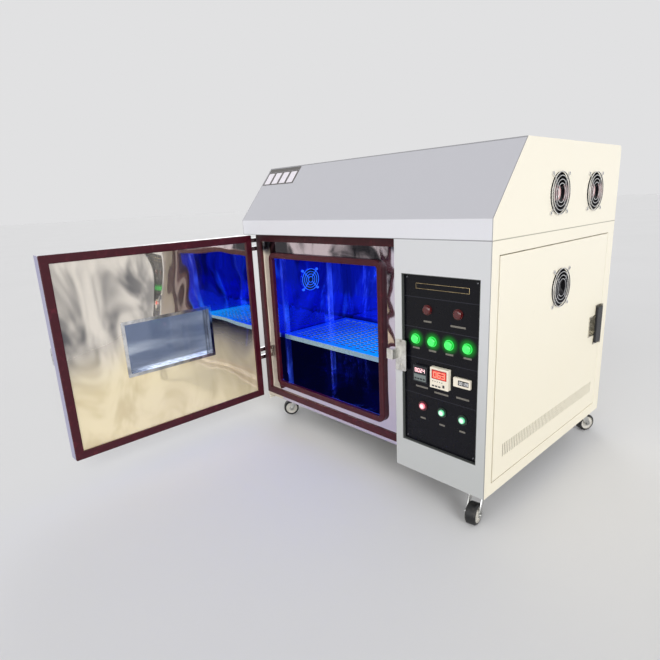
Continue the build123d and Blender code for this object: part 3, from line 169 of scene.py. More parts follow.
camera_data = bpy.data.cameras.new("camera")
camera_data.sensor_width = SENSOR
camera_data.lens = SENSOR * FOCUS_SHARE
camera_data.clip_end = VIEW_REACH
camera = bpy.data.objects.new("camera", camera_data)
bpy.context.scene.collection.objects.link(camera)
camera.matrix_world = Matrix((
    (CAMERA_RIGHT[0], CAMERA_UP[0], -CAMERA_LOOK[0], CAMERA_PLACE[0]),
    (CAMERA_RIGHT[1], CAMERA_UP[1], -CAMERA_LOOK[1], CAMERA_PLACE[1]),
    (CAMERA_RIGHT[2], CAMERA_UP[2], -CAMERA_LOOK[2], CAMERA_PLACE[2]),
    (0, 0, 0, 1),
))
bpy.context.scene.camera = camera

SWEEP_REACH = 60.0
PAPER_LOW, PAPER_HIGH = linear("DBDBDC"), linear("E0E0E1")

paper = Finish("sweep_paper", Roughness=0.9, Specular_IOR_Level=0.1)
paper.set({"Base Color": paper.mixed(paper.noise(0.8), PAPER_LOW, PAPER_HIGH)})
sheet = bpy.data.meshes.new("sweep")
turns = ((-1, -1), (1, -1), (1, 1), (-1, 1))
sheet.from_pydata([(x * SWEEP_REACH, y * SWEEP_REACH, 0) for x, y in turns], [], [(0, 1, 2, 3)])
sheet.materials.append(paper.material)
sweep = bpy.data.objects.new("sweep", sheet)
bpy.context.scene.collection.objects.link(sweep)

ROOM_LIGHT = 0.72
world = bpy.data.worlds.new("studio")
bpy.context.scene.world = world
world.use_nodes = True
wires = world.node_tree
wires.nodes.clear()
seen = wires.nodes.new("ShaderNodeBackground")
seen.inputs["Color"].default_value = linear("E1E1E2")
fill = wires.nodes.new("ShaderNodeBackground")
fill.inputs["Strength"].default_value = ROOM_LIGHT
path = wires.nodes.new("ShaderNodeLightPath")
either = [wires.nodes.new("ShaderNodeMath") for _ in range(2)]
for node in either:
    node.operation = "MAXIMUM"
wires.links.new(path.outputs["Is Camera Ray"], either[0].inputs[0])
wires.links.new(path.outputs["Is Glossy Ray"], either[0].inputs[1])
wires.links.new(either[0].outputs[0], either[1].inputs[0])
wires.links.new(path.outputs["Is Transmission Ray"], either[1].inputs[1])
mixer = wires.nodes.new("ShaderNodeMixShader")
wires.links.new(either[1].outputs[0], mixer.inputs[0])
wires.links.new(fill.outputs[0], mixer.inputs[1])
wires.links.new(seen.outputs[0], mixer.inputs[2])
surface = wires.nodes.new("ShaderNodeOutputWorld")
wires.links.new(mixer.outputs[0], surface.inputs[0])

LAMPS = (
    ("key_lamp", (0.85, -0.40, 0.42), 1.70, 30),
    ("front_lamp", (0.10, -0.93, 0.35), 0.85, 40),
    ("back_lamp", (-0.70, 0.62, 0.30), 0.80, 40),
)
for name, toward, strength, width in LAMPS:
    lamp = bpy.data.lights.new(name, "SUN")
    lamp.energy = strength
    lamp.angle = math.radians(width)
    holder = bpy.data.objects.new(name, lamp)
    holder.rotation_euler = Vector(toward).to_track_quat("Z", "Y").to_euler()
    bpy.context.scene.collection.objects.link(holder)
bpy.context.scene.view_settings.view_transform = "Standard"


# The cabinet sheets are pressed and folded 1.5 mm steel, powder coated: cream on the
# sides and back, cool light grey on the front. Folds are rounded and the coat has a
# fine orange-peel skin that is a little thinner and glossier along the folds.
MM = 0.001
FOLD_RADIUS = 2.0
FOLD_LEAST = 45.0
FOLD_ANGLE = math.radians(25)
SHARP_ANGLE = math.radians(32)
FLAT_ANGLE = math.radians(0.5)
WELD_GAP = 1e-6


def merged(node):
    """A copy of a CAD node as one joined skin."""
    source = frame["nodes"][node].data
    skin = bmesh.new()
    skin.from_mesh(source)
    bmesh.ops.remove_doubles(skin, verts=skin.verts, dist=WELD_GAP)
    bmesh.ops.dissolve_limit(skin, angle_limit=FLAT_ANGLE, verts=skin.verts, edges=skin.edges)
    return skin


def placed(mesh, name, finish, body):
    """Makes a mesh a piece that rides with a body."""
    mesh.materials.clear()
    mesh.materials.append(finish.material)
    mesh.polygons.foreach_set("use_smooth", [True] * len(mesh.polygons))
    mesh.set_sharp_from_angle(angle=SHARP_ANGLE)
    made = bpy.data.objects.new(name, mesh)
    bpy.context.scene.collection.objects.link(made)
    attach(made, body)
    return made


def applied(thing):
    """Turns an object's modifiers into its mesh."""
    graph = bpy.context.evaluated_depsgraph_get()
    graph.update()
    mesh = bpy.data.meshes.new_from_object(thing.evaluated_get(graph), depsgraph=graph)
    thing.modifiers.clear()
    thing.data = mesh
    return thing


def folded(node, name, finish, radius=FOLD_RADIUS):
    """A CAD sheet with its long edges rounded as a press brake leaves them."""
    skin = merged(node)
    weights = skin.edges.layers.float.new("bevel_weight_edge")
    for edge in skin.edges:
        if len(edge.link_faces) != 2 or edge.calc_length() < FOLD_LEAST * MM:
            continue
        if edge.calc_face_angle() > FOLD_ANGLE and edge.is_convex:
            edge[weights] = 1.0
    mesh = bpy.data.meshes.new(name)
    skin.to_mesh(mesh)
    skin.free()
    body = frame["nodes"][node]["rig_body"]
    made = placed(mesh, name, finish, body)
    rounder = made.modifiers.new("fold", "BEVEL")
    rounder.limit_method = "WEIGHT"
    rounder.width = radius * MM
    rounder.segments = 3
    rounder.use_clamp_overlap = True
    leveller = made.modifiers.new("level", "WEIGHTED_NORMAL")
    leveller.weight = 100
    leveller.keep_sharp = True
    applied(made)
    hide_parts(node)
    return made


def dressed(node, finish):
    """Gives a CAD node its finish."""
    mesh = frame["nodes"][node].data
    mesh.materials.clear()
    mesh.materials.append(finish.material)


CREAM, CREAM_SHADED_LOW = linear("F3EDDC"), linear("EBE4D0")
BAND_GREY, SLOPE_SHADED_GREY = linear("D9D9DE"), linear("B6B6BC")
COLUMN_HIGH, COLUMN_SHADED_LOW = linear("CFD0D2"), linear("B7B9B8")
SLOPE_START = 0.838
SEAM_LEVEL, TOP_LEVEL, SIDE_PLANE = 0.787, 1.030, 0.525
RECESS_LEFT, RECESS_RIGHT, RECESS_LOW, RECESS_HIGH = 0.2485, 0.4975, 0.1845, 0.6925
RECESS_EDGE = 0.0008
CREAM_FADE = (0.35, 0.95)
COLUMN_FADE = (0.10, 0.72)
BAND_FADE = (0.780, 0.792)
SEAM_CORE, SEAM_EDGE = 0.0006, 0.0020


def powder_coat(name, two_tone):
    coat = Finish(name, Specular_IOR_Level=0.4, Coat_Weight=0.12, Coat_Roughness=0.25)
    height = coat.along(coat.place, 2)
    cloud = coat.noise(2.2, 3.0, 0.6)
    # The cream is painted darker towards the floor: painted shade.
    cream = coat.mixed(coat.ramp(height + cloud * 0.25, *CREAM_FADE), CREAM_SHADED_LOW, CREAM)
    seam = coat.ramp(abs(height - SEAM_LEVEL), SEAM_CORE, SEAM_EDGE, 1.0, 0.0)
    cream = coat.mixed(seam * 0.75, cream, linear("8A8674"))
    colour = cream
    if two_tone:
        aside = coat.along(coat.place, 0)
        front = coat.ramp(coat.along(coat.facing, 1), -0.45, -0.25, 1.0, 0.0)
        # The column grey is painted darker towards the floor: painted shade.
        column = coat.mixed(coat.ramp(height, *COLUMN_FADE), COLUMN_SHADED_LOW, COLUMN_HIGH)
        band = coat.mixed(coat.ramp(height, *BAND_FADE), column, BAND_GREY)
        # The slope is painted a darker grey than the band: painted shade.
        grey = coat.mixed(coat.ramp(height, SLOPE_START, SLOPE_START + 0.003), band, SLOPE_SHADED_GREY)
        # Thin painted shadow lines run along the front's top and side edges; the seam line is a
        # dark joint.
        rim_line = coat.math(
            "MAXIMUM",
            coat.ramp(height, TOP_LEVEL - 0.0045, TOP_LEVEL - 0.002),
            coat.ramp(abs(aside), SIDE_PLANE - 0.0030, SIDE_PLANE - 0.0012),
        )
        seam_and_edge_shadow = coat.math("MAXIMUM", rim_line * 0.65, seam * 0.8)
        grey = coat.mixed(seam_and_edge_shadow, grey, linear("6E6E70"))
        colour = coat.mixed(front, cream, grey)
        # The recess walls are painted dark grey as painted shade.
        inside = (
            coat.ramp(aside, RECESS_LEFT, RECESS_LEFT + RECESS_EDGE)
            * coat.ramp(aside, RECESS_RIGHT - RECESS_EDGE, RECESS_RIGHT, 1.0, 0.0)
            * coat.ramp(height, RECESS_LOW, RECESS_LOW + RECESS_EDGE)
            * coat.ramp(height, RECESS_HIGH - RECESS_EDGE, RECESS_HIGH, 1.0, 0.0)
        )
        colour = coat.mixed(inside, colour, linear("4A4D4B"))
    dust = coat.ramp(coat.noise(38.0, 4.0, 0.7), 0.60, 0.80) * 0.05
    colour = coat.mixed(dust, colour, linear("9A968A"))
    peel = coat.noise(620.0, 1.0, 0.5)
    swell = coat.noise(3.1, 1.0, 0.5)
    coat.set({
        "Base Color": colour,
        "Roughness": coat.ramp(coat.noise(9.0, 3.0), 0.3, 0.7, 0.36, 0.46),
        "Normal": coat.relief(peel * 0.035 + swell * 1.2, MM * 0.9),
    })
    return coat


side_coat = powder_coat("cream_powder_coat", False)
front_coat = powder_coat("two_tone_powder_coat", True)
folded("left_side_panel", "left_side_sheet", side_coat)
folded("rear_panel", "rear_sheet", side_coat)
folded("right_side_frame", "right_side_surround", side_coat)
folded("hood_shell", "hood_sheet", front_coat)
folded("control_column", "column_sheet", front_coat)


# A label of printed film is stuck to the slope's top left corner: a dark head bar,
# and four blank pale fields below it in a thin frame.
class Stock:
    """Mesh stock for one piece, cut in millimetres in the cabinet's own frame."""

    def __init__(self):
        self.mesh = bmesh.new()

    def block(self, low, high, tilt=None):
        size = [(b - a) * MM for a, b in zip(low, high)]
        centre = [(a + b) / 2 * MM for a, b in zip(low, high)]
        turn = tilt or Matrix.Identity(4)
        place = turn @ Matrix.Translation(centre) @ Matrix.Diagonal((*size, 1))
        bmesh.ops.create_cube(self.mesh, size=1.0, matrix=place)
        return self

    def turned(self, profile, centre, toward, steps=32):
        """A turned solid: profile is a list of (radius, distance along the axis)."""
        facing = Vector(toward).to_track_quat("Z", "Y").to_matrix().to_4x4()
        base = Matrix.Translation(Vector(centre) * MM) @ facing
        rings = []
        for radius, along in profile:
            count = steps if radius else 1
            rings.append([
                self.mesh.verts.new(base @ Vector((
                    radius * MM * math.cos(math.tau * i / count),
                    radius * MM * math.sin(math.tau * i / count), along * MM,
                ))) for i in range(count)
            ])
        for near, far in zip(rings, rings[1:]):
            for i in range(steps):
                loop = [near[i % len(near)], near[(i + 1) % len(near)]]
                loop += [far[(i + 1) % len(far)], far[i % len(far)]]
                self.mesh.faces.new(list(dict.fromkeys(loop)))
        bmesh.ops.recalc_face_normals(self.mesh, faces=self.mesh.faces)
        return self

    def piece(self, name, finish, body, slot, edge=0.0):
        mesh = bpy.data.meshes.new(name)
        self.mesh.to_mesh(mesh)
        self.mesh.free()
        made = placed(mesh, name, finish, body)
        if edge:
            rounder = made.modifiers.new("edge", "BEVEL")
            rounder.width = edge * MM
            rounder.segments = 2
            applied(made)
        return made


SLOPE_FOOT, SLOPE_RISE, SLOPE_RUN = (0, -0.410, 0.840), 190, 155
SLOPE_TILT = Matrix.Translation(SLOPE_FOOT) @ Matrix.Rotation(
    math.atan2(SLOPE_RISE, SLOPE_RUN), 4, "X"
)
LABEL_LEFT, LABEL_RIGHT, LABEL_LOW, LABEL_HIGH, FILM = -519, -334, 163, 240, 0.25
FIELD_PITCH, FIELD_WIDTH = 45, 33


def speckled(name, low, high, scale, detail=3.0, **fixed):
    """A plain moulded or printed surface with a fine change of tone."""
    made = Finish(name, **fixed)
    made.set({"Base Color": made.mixed(made.noise(scale, detail), linear(low), linear(high))})
    return made


film_white = speckled("label_film", "D2CDD6", "EFEAF0", 120.0, Roughness=0.35)
film_dark = speckled("label_head", "4C4A48", "6A6664", 90.0, Roughness=0.4)
rating = Stock()
rating.block((LABEL_LEFT, LABEL_LOW, 0), (LABEL_RIGHT, LABEL_HIGH - 17, FILM), SLOPE_TILT)
rating.piece("rating_label_film", film_dark, "cabinet", "gear_grey")
head = Stock()
head.block((LABEL_LEFT, LABEL_HIGH - 16, 0), (LABEL_RIGHT, LABEL_HIGH, FILM * 1.6), SLOPE_TILT)
head.piece("rating_label_head", film_dark, "cabinet", "gear_grey")
fields = Stock()
for column in range(4):
    left = LABEL_LEFT + 8 + column * FIELD_PITCH
    right = left + FIELD_WIDTH
    fields.block((left, LABEL_LOW + 5, 0), (right, LABEL_HIGH - 22, FILM * 2), SLOPE_TILT)
fields.piece("rating_label_fields", film_white, "cabinet", "white_plastic")


# The underframe is steel bar, welded and painted grey, and its paint holds grime. The
# cabinet sheets and the caster plates are fixed to it.
underframe = Finish("underframe_paint", Specular_IOR_Level=0.35)
grime = underframe.ramp(underframe.noise(24.0, 5.0, 0.65), 0.45, 0.75)
underframe.set({
    "Base Color": underframe.mixed(grime, linear("8C8C8A"), linear("6B6A66")),
    "Roughness": grime * 0.2 + 0.45,
    "Normal": underframe.relief(underframe.noise(300.0), MM * 0.05),
})
dressed("base_frame", underframe)


# Galvanised plates carry the gear in the hood and between chamber and service space.
# The zinc shows its flower pattern; the gear itself is grey moulded ballasts and blocks.
zinc = Finish("galvanised_sheet", Metallic=0.85)
flower = zinc.add("ShaderNodeTexVoronoi", None, {"Vector": zinc.place, "Scale": 85.0}, 1)
flake = zinc.along(flower, 0)
zinc.set({
    "Base Color": zinc.mixed(flake, linear("A9ACB0"), linear("C6C9CC")),
    "Roughness": flake * 0.2 + 0.28,
    "Normal": zinc.relief(flake, MM * 0.04),
})
dressed("mounting_plates", zinc)

gear = Finish("gear_housing", Specular_IOR_Level=0.4)
tiers = gear.math("PINGPONG", gear.along(gear.place, 2), 0.006)
gear.set({
    "Base Color": gear.mixed(
        gear.ramp(gear.noise(30.0, 4.0), 0.4, 0.7), linear("A6A8AA"), linear("8B8D90")
    ),
    "Roughness": gear.ramp(gear.noise(80.0), 0.3, 0.7, 0.4, 0.6),
    "Normal": gear.relief(tiers * 120.0, MM * 0.4),
})
dressed("control_gear", gear)


# The door frame and chamber are hand-polished stainless sheet. It is bright as a mirror
# but never flat: it was pulled over the wool by its folds, so it throws wavy reflections.
def mirror_sheet(name, bright, dull, wave, depth):
    sheet = Finish(name, Metallic=1.0)
    cloud = sheet.ramp(sheet.noise(4.0, 3.0, 0.6), 0.35, 0.65)
    scuff = sheet.ramp(sheet.noise(60.0, 5.0, 0.7, (1, 1, 6)), 0.55, 0.8)
    swell = sheet.noise(wave, 1.5, 0.45, (1, 1, 0.7), 0.8)
    sheet.set({
        "Base Color": sheet.mixed(cloud, bright, dull),
        "Roughness": scuff * 0.10 + 0.035,
        "Normal": sheet.relief(swell, depth),
    })
    return sheet


frame_mirror = mirror_sheet("frame_mirror", linear("E6E2E4"), linear("C9C4CC"), 6.0, MM * 5.0)
# The frame's colour holds painted reflections: a cream strip at its left and dark patches along its
# top.
rise = frame_mirror.along(frame_mirror.place, 2)
patch = frame_mirror.noise(7.5, 2.5, 0.5, (1, 1, 1.4), 0.8)
TOP_STRIP, LEFT_STRIP = (0.700, 0.716), (-0.44, -0.42)
top_strip = frame_mirror.ramp(rise, *TOP_STRIP)
painted_dark_patch_reflection = top_strip * frame_mirror.ramp(patch, 0.40, 0.58)
aside = frame_mirror.along(frame_mirror.place, 0)
painted_cream_strip_reflection = frame_mirror.ramp(aside, *LEFT_STRIP, 1.0, 0.0)
painted_reflection_tone = frame_mirror.mixed(painted_cream_strip_reflection, linear("DCD2E0"), linear("F2E4D0"))
painted_reflection_tone = frame_mirror.mixed(painted_dark_patch_reflection, painted_reflection_tone, linear("44444C"))
frame_mirror.set({"Base Color": painted_reflection_tone})
dressed("door_frame", frame_mirror)


# Mats of mineral wool fill the space round the chamber and inside the door. They are
# cut to size and packed in between the sheets.
wool = Finish("mineral_wool", Roughness=0.95, Specular_IOR_Level=0.1)
fibre = wool.noise(160.0, 6.0, 0.75, (1, 1, 4))
wool.set({
    "Base Color": wool.mixed(fibre, linear("A8904E"), linear("E0CF8E")),
    "Normal": wool.relief(fibre, MM * 3.0),
})
dressed("insulation", wool)
dressed("door_insulation", wool)


# Both seals are maroon silicone extrusions pressed into the frame, one round the door
# and one round the opening. The lip is shinier than the foot and holds a little dust.
rubber = Finish("maroon_silicone", Specular_IOR_Level=0.3, Coat_Weight=0.1, Coat_Roughness=0.2)
bloom = rubber.ramp(rubber.noise(45.0, 5.0, 0.7), 0.5, 0.8)
grain = rubber.noise(500.0, 2.0)
rubber.set({
    "Base Color": rubber.mixed(bloom, linear("3E0716"), linear("5E1826")),
    "Roughness": rubber.ramp(rubber.noise(30.0), 0.3, 0.7, 0.32, 0.5),
    "Normal": rubber.relief(grain, MM * 0.15),
})
dressed("frame_seals", rubber)
dressed("door_seal", rubber)


# The lit chamber: polished steel box. The blue of the ultraviolet tubes under its roof is painted
# into its colour, with painted reflection streaks, and its emission is a painted glow.
# The lower half, under the shelf, is painted nearly navy as painted shade.
lit_steel = Finish("ultraviolet_lit_steel", Metallic=1.0, Emission_Strength=1.0)
level = lit_steel.along(lit_steel.place, 2)
SHELF_LEVEL = (0.375, 0.40)
above = lit_steel.ramp(level, *SHELF_LEVEL)
ripple = lit_steel.noise(7.0, 3.0, 0.55, (1, 1, 0.35), 1.2)
painted_reflection_streak = lit_steel.ramp(ripple, 0.52, 0.70)
painted_glow_patches = lit_steel.ramp(lit_steel.noise(5.0, 2.0, 0.5, (1, 1, 0.6), 1.0), 0.46, 0.60)
deep = lit_steel.mixed(above, linear("141E5A"), linear("2C46B8"))
pale = lit_steel.mixed(above, linear("5A68B0"), linear("B4BEFA"))
painted_upper_glow = lit_steel.mixed(painted_glow_patches, linear("030736"), linear("081684"))
lit_steel.set({
    "Base Color": lit_steel.mixed(painted_reflection_streak, deep, pale),
    "Roughness": 0.06,
    "Emission Color": lit_steel.mixed(
        above, linear("020318"), lit_steel.mixed(painted_reflection_streak, painted_upper_glow, linear("123CC0"))
    ),
    "Normal": lit_steel.relief(ripple, MM * 5.0),
})
dressed("chamber_liner", lit_steel)


# The shelf hangs on stainless uprights fixed to the chamber's walls. They are bright,
# and the blue of the tubes is painted on them in streaks, with a painted glow.
upright_steel = Finish("upright_steel", Metallic=1.0, Emission_Strength=1.0)
painted_blue_streaks = upright_steel.noise(12.0, 3.0, 0.5, (1, 1, 0.5))
upright_steel.set({
    "Base Color": upright_steel.mixed(painted_blue_streaks, linear("8A9AF0"), linear("D8DEFF")),
    "Roughness": 0.18,
    "Emission Color": upright_steel.mixed(
        upright_steel.ramp(painted_blue_streaks, 0.45, 0.7), linear("050C50"), linear("2A48C0")
    ),
})
dressed("shelf_uprights", upright_steel)


# Each tube is clear glass with a blue-violet discharge that fades toward its ends. It
# is held by its pins in white moulded holders.
TUBE_MIDDLE = -0.1515
TUBE_FADE = (0.185, 0.215)
glow = Finish("lit_tube", Roughness=0.15, Emission_Strength=3.5)
end = abs(glow.along(glow.place, 0) - TUBE_MIDDLE)
glow.set({
    "Base Color": linear("8CA0FF"),
    "Emission Color": glow.mixed(
        glow.ramp(end, *TUBE_FADE), linear("5A78FF"), linear("0A1050")
    ),
})
dressed("uv_tubes", glow)

# The holders' blue tint and blue emission are painted light from the tubes: a painted glow.
holder_white = Finish("holder_white", Roughness=0.45, Emission_Strength=1.0)
holder_white.set({
    "Base Color": holder_white.mixed(
        holder_white.noise(60.0, 4.0), linear("B8C4F0"), linear("E0E6FF")
    ),
    "Emission Color": linear("0A1470"),
})
dressed("lamp_holders", holder_white)


# The shelf is a tray of stainless sheet, punched with rows of long slots. The light from
# above is painted on as a tint and a painted glow, cyan toward the open front and blue at the back;
# its lip stays pale.
tray = Finish("lit_shelf_steel", Metallic=0.9, Emission_Strength=1.0)
depth_in = tray.ramp(tray.along(tray.place, 1), -0.33, 0.0)
right_way = tray.ramp(tray.along(tray.place, 0), -0.40, 0.11)
lip = tray.ramp(tray.along(tray.facing, 1), -0.8, -0.5, 1.0, 0.0)
painted_light_spill = right_way * (1 - depth_in * 0.6)
painted_top_glow = tray.mixed(painted_light_spill, linear("0628B8"), linear("0890E8"))
tray.set({
    "Base Color": tray.mixed(lip, linear("3080E0"), linear("90A8B8")),
    "Roughness": tray.ramp(tray.noise(20.0, 3.0), 0.3, 0.7, 0.2, 0.32),
    "Emission Color": tray.mixed(lip, painted_top_glow, linear("3C5C78")),
})
dressed("shelf", tray)


# Axial fans have black moulded frames and rotors. Each frame is screwed behind its
# opening, and the rotor turns on a shaft in the frame's hub.
black_mould = Finish("black_moulding", Specular_IOR_Level=0.45)
speck = black_mould.noise(220.0, 3.0)
black_mould.set({
    "Base Color": black_mould.mixed(speck, linear("16161A"), linear("2A2A2E")),
    "Roughness": black_mould.ramp(speck, 0.3, 0.7, 0.38, 0.55),
    "Normal": black_mould.relief(speck, MM * 0.1),
})
for node in ("fan_housings", "side_fan_housing", "hood_rotor_front", "hood_rotor_rear",
             "wall_rotor", "side_rotor"):
    dressed(node, black_mould)


# Guards, hinges, keeper and lever latch are plated steel. The wire guards are welded
# rings on four legs, and the one in the chamber has the tubes' blue painted on, with a painted
# glow.
def plated(name, light, dark, rough):
    metal = Finish(name, Metallic=1.0)
    haze = metal.noise(45.0, 4.0, 0.6)
    metal.set({
        "Base Color": metal.mixed(metal.ramp(haze, 0.35, 0.7), light, dark),
        "Roughness": metal.ramp(haze, 0.3, 0.75, rough, rough + 0.14),
        "Normal": metal.relief(metal.noise(300.0), MM * 0.04),
    })
    return metal


chrome = plated("bright_plate", linear("E8E8EA"), linear("B4B4B8"), 0.08)
zinc_plate = plated("zinc_plate", linear("D8D8D6"), linear("9C9C98"), 0.22)
for node in ("side_fan_guard", "hinge_brackets", "hinge_pins", "door_hinge_leaves",
             "latch_case", "latch_lever", "latch_bolt"):
    dressed(node, chrome)
guard_wire = Finish("guard_wire", Metallic=1.0, Roughness=0.2, Emission_Strength=1.0)
in_chamber = guard_wire.ramp(guard_wire.along(guard_wire.place, 0), -0.1, 0.1, 1.0, 0.0)
guard_wire.set({
    "Base Color": guard_wire.mixed(in_chamber, linear("E0E0E0"), linear("80A0FF")),
    "Emission Color": guard_wire.mixed(in_chamber, (0, 0, 0, 1), linear("2C6CF0")),
})
dressed("fan_guards", guard_wire)
satin = plated("satin_steel", linear("F0EFEA"), linear("C8C6C0"), 0.32)
dressed("keeper", satin)
dressed("caster_plates", zinc_plate)


# Pan-head screws hold the guards, the panel and the keeper. One small tree makes them:
# a domed head with a cross recess, set at each spot and facing out of the sheet.
def screw_tree():
    tree = bpy.data.node_groups.new("pan_head_screws", "GeometryNodeTree")
    face = tree.interface
    face.new_socket("Spots", in_out="INPUT", socket_type="NodeSocketGeometry")
    face.new_socket("Head Radius", in_out="INPUT", socket_type="NodeSocketFloat")
    face.new_socket("Head Finish", in_out="INPUT", socket_type="NodeSocketMaterial")
    face.new_socket("Screws", in_out="OUTPUT", socket_type="NodeSocketGeometry")

    def add(kind, settings=None, **values):
        node = tree.nodes.new(kind)
        for key, value in (settings or {}).items():
            setattr(node, key, value)
        for key, value in values.items():
            socket = node.inputs[key.replace("_", " ")]
            if isinstance(value, bpy.types.NodeSocket):
                tree.links.new(value, socket)
            else:
                socket.default_value = value
        return node

    given = add("NodeGroupInput")
    ball = add("GeometryNodeMeshUVSphere", Segments=16, Rings=8, Radius=1.0)
    dome = add("GeometryNodeTransform", Geometry=ball.outputs[0], Scale=(1, 1, 0.55))
    arm = add("GeometryNodeMeshCube", Size=(1.1, 0.22, 0.5))
    other = add("GeometryNodeMeshCube", Size=(0.22, 1.1, 0.5))
    cutters = add("GeometryNodeJoinGeometry")
    tree.links.new(arm.outputs[0], cutters.inputs[0])
    tree.links.new(other.outputs[0], cutters.inputs[0])
    raised = add("GeometryNodeTransform", Geometry=cutters.outputs[0], Translation=(0, 0, 0.5))
    cut = add("GeometryNodeMeshBoolean", {"operation": "DIFFERENCE"}, Mesh_1=dome.outputs[0])
    tree.links.new(raised.outputs[0], cut.inputs["Mesh 2"])
    aim = add("GeometryNodeInputNamedAttribute", {"data_type": "FLOAT_VECTOR"}, Name="aim")
    turn = add("FunctionNodeAlignRotationToVector", {"axis": "Z"}, Vector=aim.outputs[0])
    spread = add("GeometryNodeInstanceOnPoints", Points=given.outputs["Spots"],
                 Instance=cut.outputs[0], Rotation=turn.outputs[0])
    size = add("ShaderNodeCombineXYZ")
    for socket in size.inputs:
        tree.links.new(given.outputs["Head Radius"], socket)
    tree.links.new(size.outputs[0], spread.inputs["Scale"])
    real = add("GeometryNodeRealizeInstances", Geometry=spread.outputs[0])
    coated = add("GeometryNodeSetMaterial", Geometry=real.outputs[0],
                 Material=given.outputs["Head Finish"])
    out = add("NodeGroupOutput")
    tree.links.new(coated.outputs[0], out.inputs[0])
    return tree


SCREW_TREE = screw_tree()


def screws(name, body, spots, toward, radius, finish):
    """One piece of all the screws at the given spots, in millimetres."""
    mesh = bpy.data.meshes.new(name)
    mesh.from_pydata([tuple(v * MM for v in spot) for spot in spots], [], [])
    aims = mesh.attributes.new("aim", "FLOAT_VECTOR", "POINT")
    for entry in aims.data:
        entry.vector = toward
    seed = bpy.data.objects.new(name, mesh)
    bpy.context.scene.collection.objects.link(seed)
    maker = seed.modifiers.new("screws", "NODES")
    maker.node_group = SCREW_TREE
    known = {item.name: item.identifier for item in SCREW_TREE.interface.items_tree}
    maker[known["Head Radius"]] = radius * MM
    maker[known["Head Finish"]] = finish.material
    applied(seed)
    made = seed.data
    bpy.data.objects.remove(seed)
    return placed(made, name, finish, body)


def corners(centre, reach):
    """Four spots round a fan's centre, on its own plane."""
    x, y, z = centre
    return [(x, y + a * reach, z + b * reach) for a in (-1, 1) for b in (-1, 1)]


dark_screw = plated("browned_screw", linear("7A766C"), linear("4A4640"), 0.3)
FAN_REACH, WALL_REACH = 52.5, 41.0
GUARD_SCREW, WALL_SCREW = 4.2, 3.0
HOOD_FANS = ((527.2, -54, 889), (527.2, 201, 889))
SIDE_FAN, WALL_FAN = (527.2, -6, 616), (-419.6, -175, 588)
RIGHTWARD, FORWARD = (1, 0, 0), (0, -1, 0)
hood_spots = [spot for fan in HOOD_FANS for spot in corners(fan, FAN_REACH)]
screws("hood_guard_screws", "cabinet", hood_spots, RIGHTWARD, GUARD_SCREW, dark_screw)
side_spots = corners(SIDE_FAN, FAN_REACH)
screws("side_guard_screws", "side_door", side_spots, RIGHTWARD, GUARD_SCREW, dark_screw)
wall_spots = corners(WALL_FAN, WALL_REACH)
screws("wall_guard_screws", "cabinet", wall_spots, RIGHTWARD, WALL_SCREW, guard_wire)


# A round pink film with a paler ring is stuck over the hub of each hood rotor. It is
# blank, and it turns with the rotor.
HUB_RADIUS, HUB_FACE = 22.5, 519.0
for which, (x, y, z) in zip(("front", "rear"), HOOD_FANS):
    disc = Finish("hub_film_" + which, Roughness=0.4)
    back, up = disc.along(disc.place, 1) - y * MM, disc.along(disc.place, 2) - z * MM
    off = (back ** 2.0 + up ** 2.0) ** 0.5
    worn = disc.noise(120.0, 3.0)
    ringed = disc.ramp(abs(off - 0.012), 0.0015, 0.0035, 1.0, 0.0)
    pink = disc.mixed(worn, linear("B88C8C"), linear("D8B0B0"))
    disc.set({"Base Color": disc.mixed(ringed, pink, linear("F2E8E6"))})
    rim_line = [(0, 0.7), (HUB_RADIUS - 0.5, 0.7), (HUB_RADIUS, 0.2), (HUB_RADIUS, -0.5), (0, -0.5)]
    film = Stock().turned(rim_line, (HUB_FACE, y, z), RIGHTWARD)
    film.piece("hub_disc_" + which, disc, "hood_rotor_" + which, "white_plastic")


# The control panel is a gloss black acrylic sheet screwed to the back of the recess.
# Fine engraved lines part its rows, and a painted green glow stands round each lit lamp.
GREEN_SPOTS = (0.2925, 0.3486, 0.4035, 0.4596)
GREEN_LEVEL = 0.5064
HALO_REACH = (0.010, 0.034)
ENGRAVED_ROWS = (0.627, 0.540, 0.450, 0.340)
panel_black = Finish("gloss_acrylic", Specular_IOR_Level=0.18, Coat_Weight=0.08,
                     Coat_Roughness=0.1, Emission_Strength=1.0)
across, up = panel_black.along(panel_black.place, 0), panel_black.along(panel_black.place, 2)
painted_lamp_halo = None
for spot in GREEN_SPOTS:
    far = ((across - spot) ** 2.0 + (up - GREEN_LEVEL) ** 2.0) ** 0.5
    ring = panel_black.ramp(far, *HALO_REACH, 1.0, 0.0)
    painted_lamp_halo = ring if painted_lamp_halo is None else panel_black.math("MAXIMUM", painted_lamp_halo, ring)
lines = None
for row in ENGRAVED_ROWS:
    line = panel_black.ramp(abs(up - row), 0.0004, 0.0012, 1.0, 0.0)
    lines = line if lines is None else lines + line
panel_black.set({
    "Base Color": panel_black.mixed(lines * 0.4, linear("08080E"), linear("4A4A55")),
    "Roughness": panel_black.ramp(panel_black.noise(30.0, 4.0), 0.3, 0.7, 0.2, 0.34),
    "Emission Color": panel_black.mixed(painted_lamp_halo ** 1.6, linear("010102"), linear("0A8A20")),
})
dressed("control_panel", panel_black)


